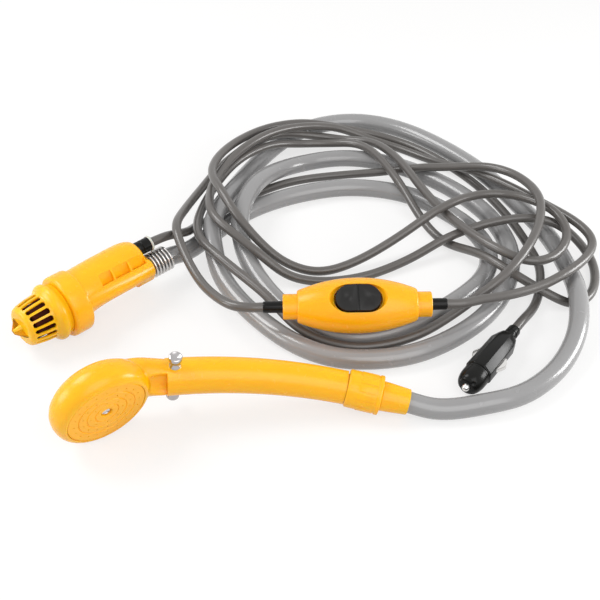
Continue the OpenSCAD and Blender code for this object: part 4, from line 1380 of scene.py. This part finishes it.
@dataclass
class VehiclePlug:
    """Vehicle plug: an eight-sided shell in two halves, nose ring, tip, side contacts and relief.

    Places along it count from the tip.  A side contact starts at side_x, stands side_out past
    the shell and is rooted side_root from the axis.
    """

    radius: float = 8.2
    length: float = 64.5
    nose: float = 13.0
    side_x: float = 25.0
    side_l: float = 12.0
    side_w: float = 3.0
    side_out: float = 2.8
    side_root: float = 5.2

    def shell(self, keep_top: bool) -> Piece:
        """Half of the shell, with the openings of the side contacts.

        Args:
            keep_top: whether it is the upper half.

        Returns:
            The piece, in place.
        """
        rear = self.length - 10.0
        flat = self.radius / math.cos(math.pi / 8)
        start = self.nose + 3.2
        body = loft([
            Ring(start, flat * 0.93, flat * 0.93), Ring(start + 0.9, flat, flat),
            Ring(rear - 7.0, flat * 0.95, flat * 0.95), Ring(rear - 0.8, flat * 0.75, flat * 0.75),
            Ring(rear, flat * 0.66, flat * 0.66),
        ], 8, 22.5)
        ease(body, 0.7, 3, 20.0)
        half(body, 0.05 if keep_top else -0.05, keep_top)
        w = self.side_w / 2 + 0.06
        carve(body, block((self.side_x - 0.25, -20.0, -w), (self.side_x + self.side_l + 0.25, 20.0, w)))
        carve(body, lathe([(10.0, 5.0), (rear - 18.0, 5.0)], 40))
        if not keep_top:
            hole = lathe([(-20.0, 2.35), (-4.95, 2.35)], 32)
            carve(body, place(hole, moved_by((rear - 10.5, 0.0, 0.0)) @ Along.Z.matrix()))
        return seat(body, PLUG, 28.0)

    def ring(self) -> Piece:
        """Nose ring with four dimples round the tip.

        Returns:
            The piece, in place.
        """
        n = self.nose
        body = lathe([
            (7.0, 2.5), (3.0, 2.5), (3.0, 4.6), (3.3, 5.25), (3.9, 6.0), (4.7, 6.6), (5.7, 7.1), (7.0, 7.5),
            (8.6, 7.85), (10.6, 8.07), (n + 1.0, 8.1), (n + 1.3, 7.85), (n + 1.6, 7.85), (n + 1.9, 8.1),
            (n + 2.6, 8.1), (n + 3.0, 7.7), (n + 3.0, 6.3),
        ], 64)
        for i in range(4):
            turn = turned_by((90.0 * i + 45.0, 0.0, 0.0))
            carve(body, place(ball(2.6, (2.3, 6.9, 0.0)), turn))
        return seat(body, PLUG)

    def tip(self) -> Piece:
        """Sprung tip contact."""
        body = lathe([
            (0.0, 0.5), (0.12, 1.0), (0.5, 1.55), (1.1, 2.0), (2.0, 2.38), (7.4, 2.38), (7.4, 3.3),
            (8.6, 3.3),
        ], 40)
        return seat(body, PLUG, 40.0)

    def relief(self) -> Piece:
        """Ribbed cable relief at the rear.

        Returns:
            The piece, in place.
        """
        l = self.length
        body = lathe([
            (l - 15.0, 3.4), (l - 10.0, 3.4), (l - 10.0, 4.0), (l - 9.6, 4.2), (l - 6.6, 4.2), (l - 6.3, 3.8),
            (l - 5.4, 3.8), (l - 5.1, 4.15), (l - 1.0, 4.05), (l - 0.3, 3.8), (l, 3.3), (l, 3.02),
        ], 40)
        return seat(body, PLUG)

    def tip_spring(self) -> Piece:
        """Spring behind the tip."""
        return seat(coil(2.1, 0.6, 3.4, 4.0, 0.0), PLUG @ moved_by((8.9, 0.0, 0.0)), 60.0)

    def contact(self, side: int) -> Piece:
        """Bowed side contact on one side.

        Args:
            side: 1 for the left side, -1 for the right.

        Returns:
            The piece, in place.
        """
        r, l, out = self.radius, self.side_l, self.side_out
        rise = [(0.0, r - 0.6), (0.8, r + 0.25 * out), (1.8, r + 0.42 * out), (3.4, r + 0.74 * out),
                (4.8, r + 0.93 * out), (6.0, r + out), (7.2, r + 0.93 * out), (8.6, r + 0.74 * out),
                (10.2, r + 0.42 * out), (11.2, r + 0.25 * out), (l, r - 0.6)]
        root, corner = self.side_root, math.sqrt(0.5)
        leaf = loft([
            Ring(self.side_x + x, (y - root) * corner, self.side_w * corner, side * (y + root) / 2)
            for x, y in rise
        ], 4, 45.0)
        return seat(ease(leaf, 0.25, 2, 50.0), PLUG, 40.0)

    def build(self) -> list[Piece]:
        """Model and dress the plug.

        Returns:
            The dressed pieces.
        """
        return [
            dress(self.relief(), "plug_cable_relief", "black_plastic", BLACK, "plug_relief"),
            dress(self.shell(True), "plug_case_top", "black_plastic", BLACK, "plug_shell_top"),
            dress(self.shell(False), "plug_case_under", "black_plastic", BLACK, "plug_shell_bottom"),
            dress(self.ring(), "plug_nose_ring", "black_plastic", BLACK, "plug_nose", body=Body.PLUG_RING),
            dress(self.tip(), "plug_tip_pin", "bright_metal", PLATED, "plug_tip", body=Body.PLUG_POINT),
            dress(self.tip_spring(), "plug_tip_spring", "steel", SPRING_STEEL, "tip_spring",
                  body=Body.PLUG_POINT),
            dress(self.contact(1), "plug_leaf_left", "bright_metal", PLATED, "side_contact_left",
                  body=Body.CONTACT_LEFT),
            dress(self.contact(-1), "plug_leaf_right", "bright_metal", PLATED, "side_contact_right",
                  body=Body.CONTACT_RIGHT),
        ]


# Setting


@dataclass(frozen=True)
class Lamp:
    """A soft lamp: its place in millimetres, its size in metres and its power."""

    name: str
    at: Triple
    size: float
    watts: float


@dataclass
class Studio:
    """Pale floor, soft light and the camera.

    The floor is white where it is seen and darker for other rays, so that it throws little
    light back, and part of what is seen glows.  The sky is white where it is seen and dims to
    its level as light.
    """

    aim: Triple = (55.0, 70.0, 0.0)
    distance: float = 700.0
    elevation: float = 40.0
    lens: float = 64.8
    floor_size: float = 8.0
    floor_drop: float = 0.05
    floor_white: float = 0.93
    floor_bounce: float = 0.66
    floor_glow: float = 0.70
    sky_level: float = 0.48
    lamps: tuple[Lamp, ...] = (
        Lamp("softbox", (-760.0, 300.0, 1050.0), 0.6, 8.2),
        Lamp("fill", (500.0, -900.0, 900.0), 1.2, 9.5),
        Lamp("rim", (-820.0, -120.0, 280.0), 0.35, 2.0),
        Lamp("strip", (746.0, 103.0, 170.0), 0.26, 2.4),
    )

    def camera(self) -> None:
        """Set the camera at the photograph's viewing angle."""
        rise = math.radians(self.elevation)
        away = Vector((0.0, -math.cos(rise), math.sin(rise))) * self.distance
        data = bpy.data.cameras.new("view")
        data.lens = self.lens
        data.sensor_width = 36.0
        obj = bpy.data.objects.new("view", data)
        obj.location = (LAY + Vector(self.aim) + away) * MM
        obj.rotation_euler = (math.pi / 2 - rise, 0.0, 0.0)
        bpy.context.collection.objects.link(obj)
        bpy.context.scene.camera = obj

    @staticmethod
    def seen(tree: bpy.types.NodeTree) -> bpy.types.NodeSocket:
        """Socket that is 1 where the view, a gloss or a clear piece shows the background, else 0.

        Args:
            tree: the nodes of a material or of the world.

        Returns:
            The socket.
        """
        path = tree.nodes.new("ShaderNodeLightPath")
        socket = path.outputs["Is Camera Ray"]
        for ray in ("Is Glossy Ray", "Is Transmission Ray"):
            either = tree.nodes.new("ShaderNodeMath")
            either.operation = "MAXIMUM"
            tree.links.new(socket, either.inputs[0])
            tree.links.new(path.outputs[ray], either.inputs[1])
            socket = either.outputs[0]
        return socket

    def floor(self) -> None:
        """Lay the pale floor."""
        clear()
        bpy.ops.mesh.primitive_plane_add(size=self.floor_size, location=(0.0, 0.0, -self.floor_drop * MM))
        floor = bpy.context.object
        floor.name = "floor"
        mat = bpy.data.materials.new("floor_white")
        mat.use_nodes = True
        nodes, links = mat.node_tree.nodes, mat.node_tree.links
        nodes.remove(nodes["Principled BSDF"])
        paint = nodes.new("ShaderNodeBsdfDiffuse")
        glow = nodes.new("ShaderNodeEmission")
        glow.inputs["Color"].default_value = (1.0, 0.995, 0.99, 1.0)
        seen = self.seen(mat.node_tree)
        share = nodes.new("ShaderNodeMath")
        share.operation = "MULTIPLY"
        share.inputs[1].default_value = self.floor_glow
        mix = nodes.new("ShaderNodeMixShader")
        tone = nodes.new("ShaderNodeMapRange")
        tone.inputs["To Min"].default_value = self.floor_bounce
        tone.inputs["To Max"].default_value = self.floor_white
        links.new(seen, share.inputs[0])
        links.new(seen, tone.inputs["Value"])
        links.new(tone.outputs["Result"], paint.inputs["Color"])
        links.new(share.outputs[0], mix.inputs[0])
        links.new(paint.outputs[0], mix.inputs[1])
        links.new(glow.outputs[0], mix.inputs[2])
        links.new(mix.outputs[0], nodes["Material Output"].inputs["Surface"])
        floor.data.materials.append(mat)

    def lights(self) -> None:
        """Hang the lamps and set an even sky."""
        world = bpy.data.worlds.new("sky")
        bpy.context.scene.world = world
        world.use_nodes = True
        sky = world.node_tree.nodes["Background"]
        sky.inputs["Color"].default_value = (1.0, 1.0, 1.0, 1.0)
        level = world.node_tree.nodes.new("ShaderNodeMapRange")
        level.inputs["To Min"].default_value = self.sky_level
        world.node_tree.links.new(self.seen(world.node_tree), level.inputs["Value"])
        world.node_tree.links.new(level.outputs["Result"], sky.inputs["Strength"])
        for lamp in self.lamps:
            data = bpy.data.lights.new(lamp.name, "AREA")
            data.size = lamp.size
            data.energy = lamp.watts
            obj = bpy.data.objects.new(lamp.name, data)
            obj.location = Vector(lamp.at) * MM
            aim = (LAY + Vector(self.aim)) * MM - obj.location
            obj.rotation_euler = aim.to_track_quat("-Z", "Y").to_euler()
            bpy.context.collection.objects.link(obj)

    def build(self) -> None:
        """Set the floor, the lights and the view transform."""
        self.floor()
        self.lights()
        bpy.context.scene.view_settings.view_transform = "Standard"


# The inlet plate takes the dark reddish brown of painted shade, for the shade inside the strainer's slots.
INNER: dict[str, Finish] = {
    "cap_o_ring": RUBBER, "inlet_plate": INLET_PAINTED_SHADE, "impeller": PALE, "motor_shaft": STEEL, "seal_plate": PALE,
    "shaft_seal": RUBBER, "motor_can": STEEL, "motor_end_cap": BLACK, "face_gasket": RUBBER,
    "hose_washer": RUBBER, "hose_nipple": PALE, "rocker_pin": STEEL, "switch_terminals": BRASS,
    "switch_screws": STEEL, "fuse": GLASS, "plug_screw": STEEL,
}


def main() -> None:
    """Build every sub-assembly round the frame and report each piece."""
    logging.basicConfig(level=logging.INFO, format="%(message)s")
    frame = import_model()
    studio = Studio()
    studio.camera()
    cords = Cords()
    laid = cords.build()
    PumpUnit().build()
    HandShower().build()
    switch_pieces = LineSwitch().build()
    plug_pieces = VehiclePlug().build()
    nodes = frame["nodes"]
    for name, finish in INNER.items():
        nodes[name].data.materials.clear()
        nodes[name].data.materials.append(finish.material())
        log.info("%s keeps its solid", name)
    switch_pieces += [nodes[n] for n in ("rocker_pin", "switch_terminals", "switch_screws")]
    plug_pieces += [nodes[n] for n in ("fuse", "plug_screw")]
    studio.build()


if __name__ == "__main__":
    main()
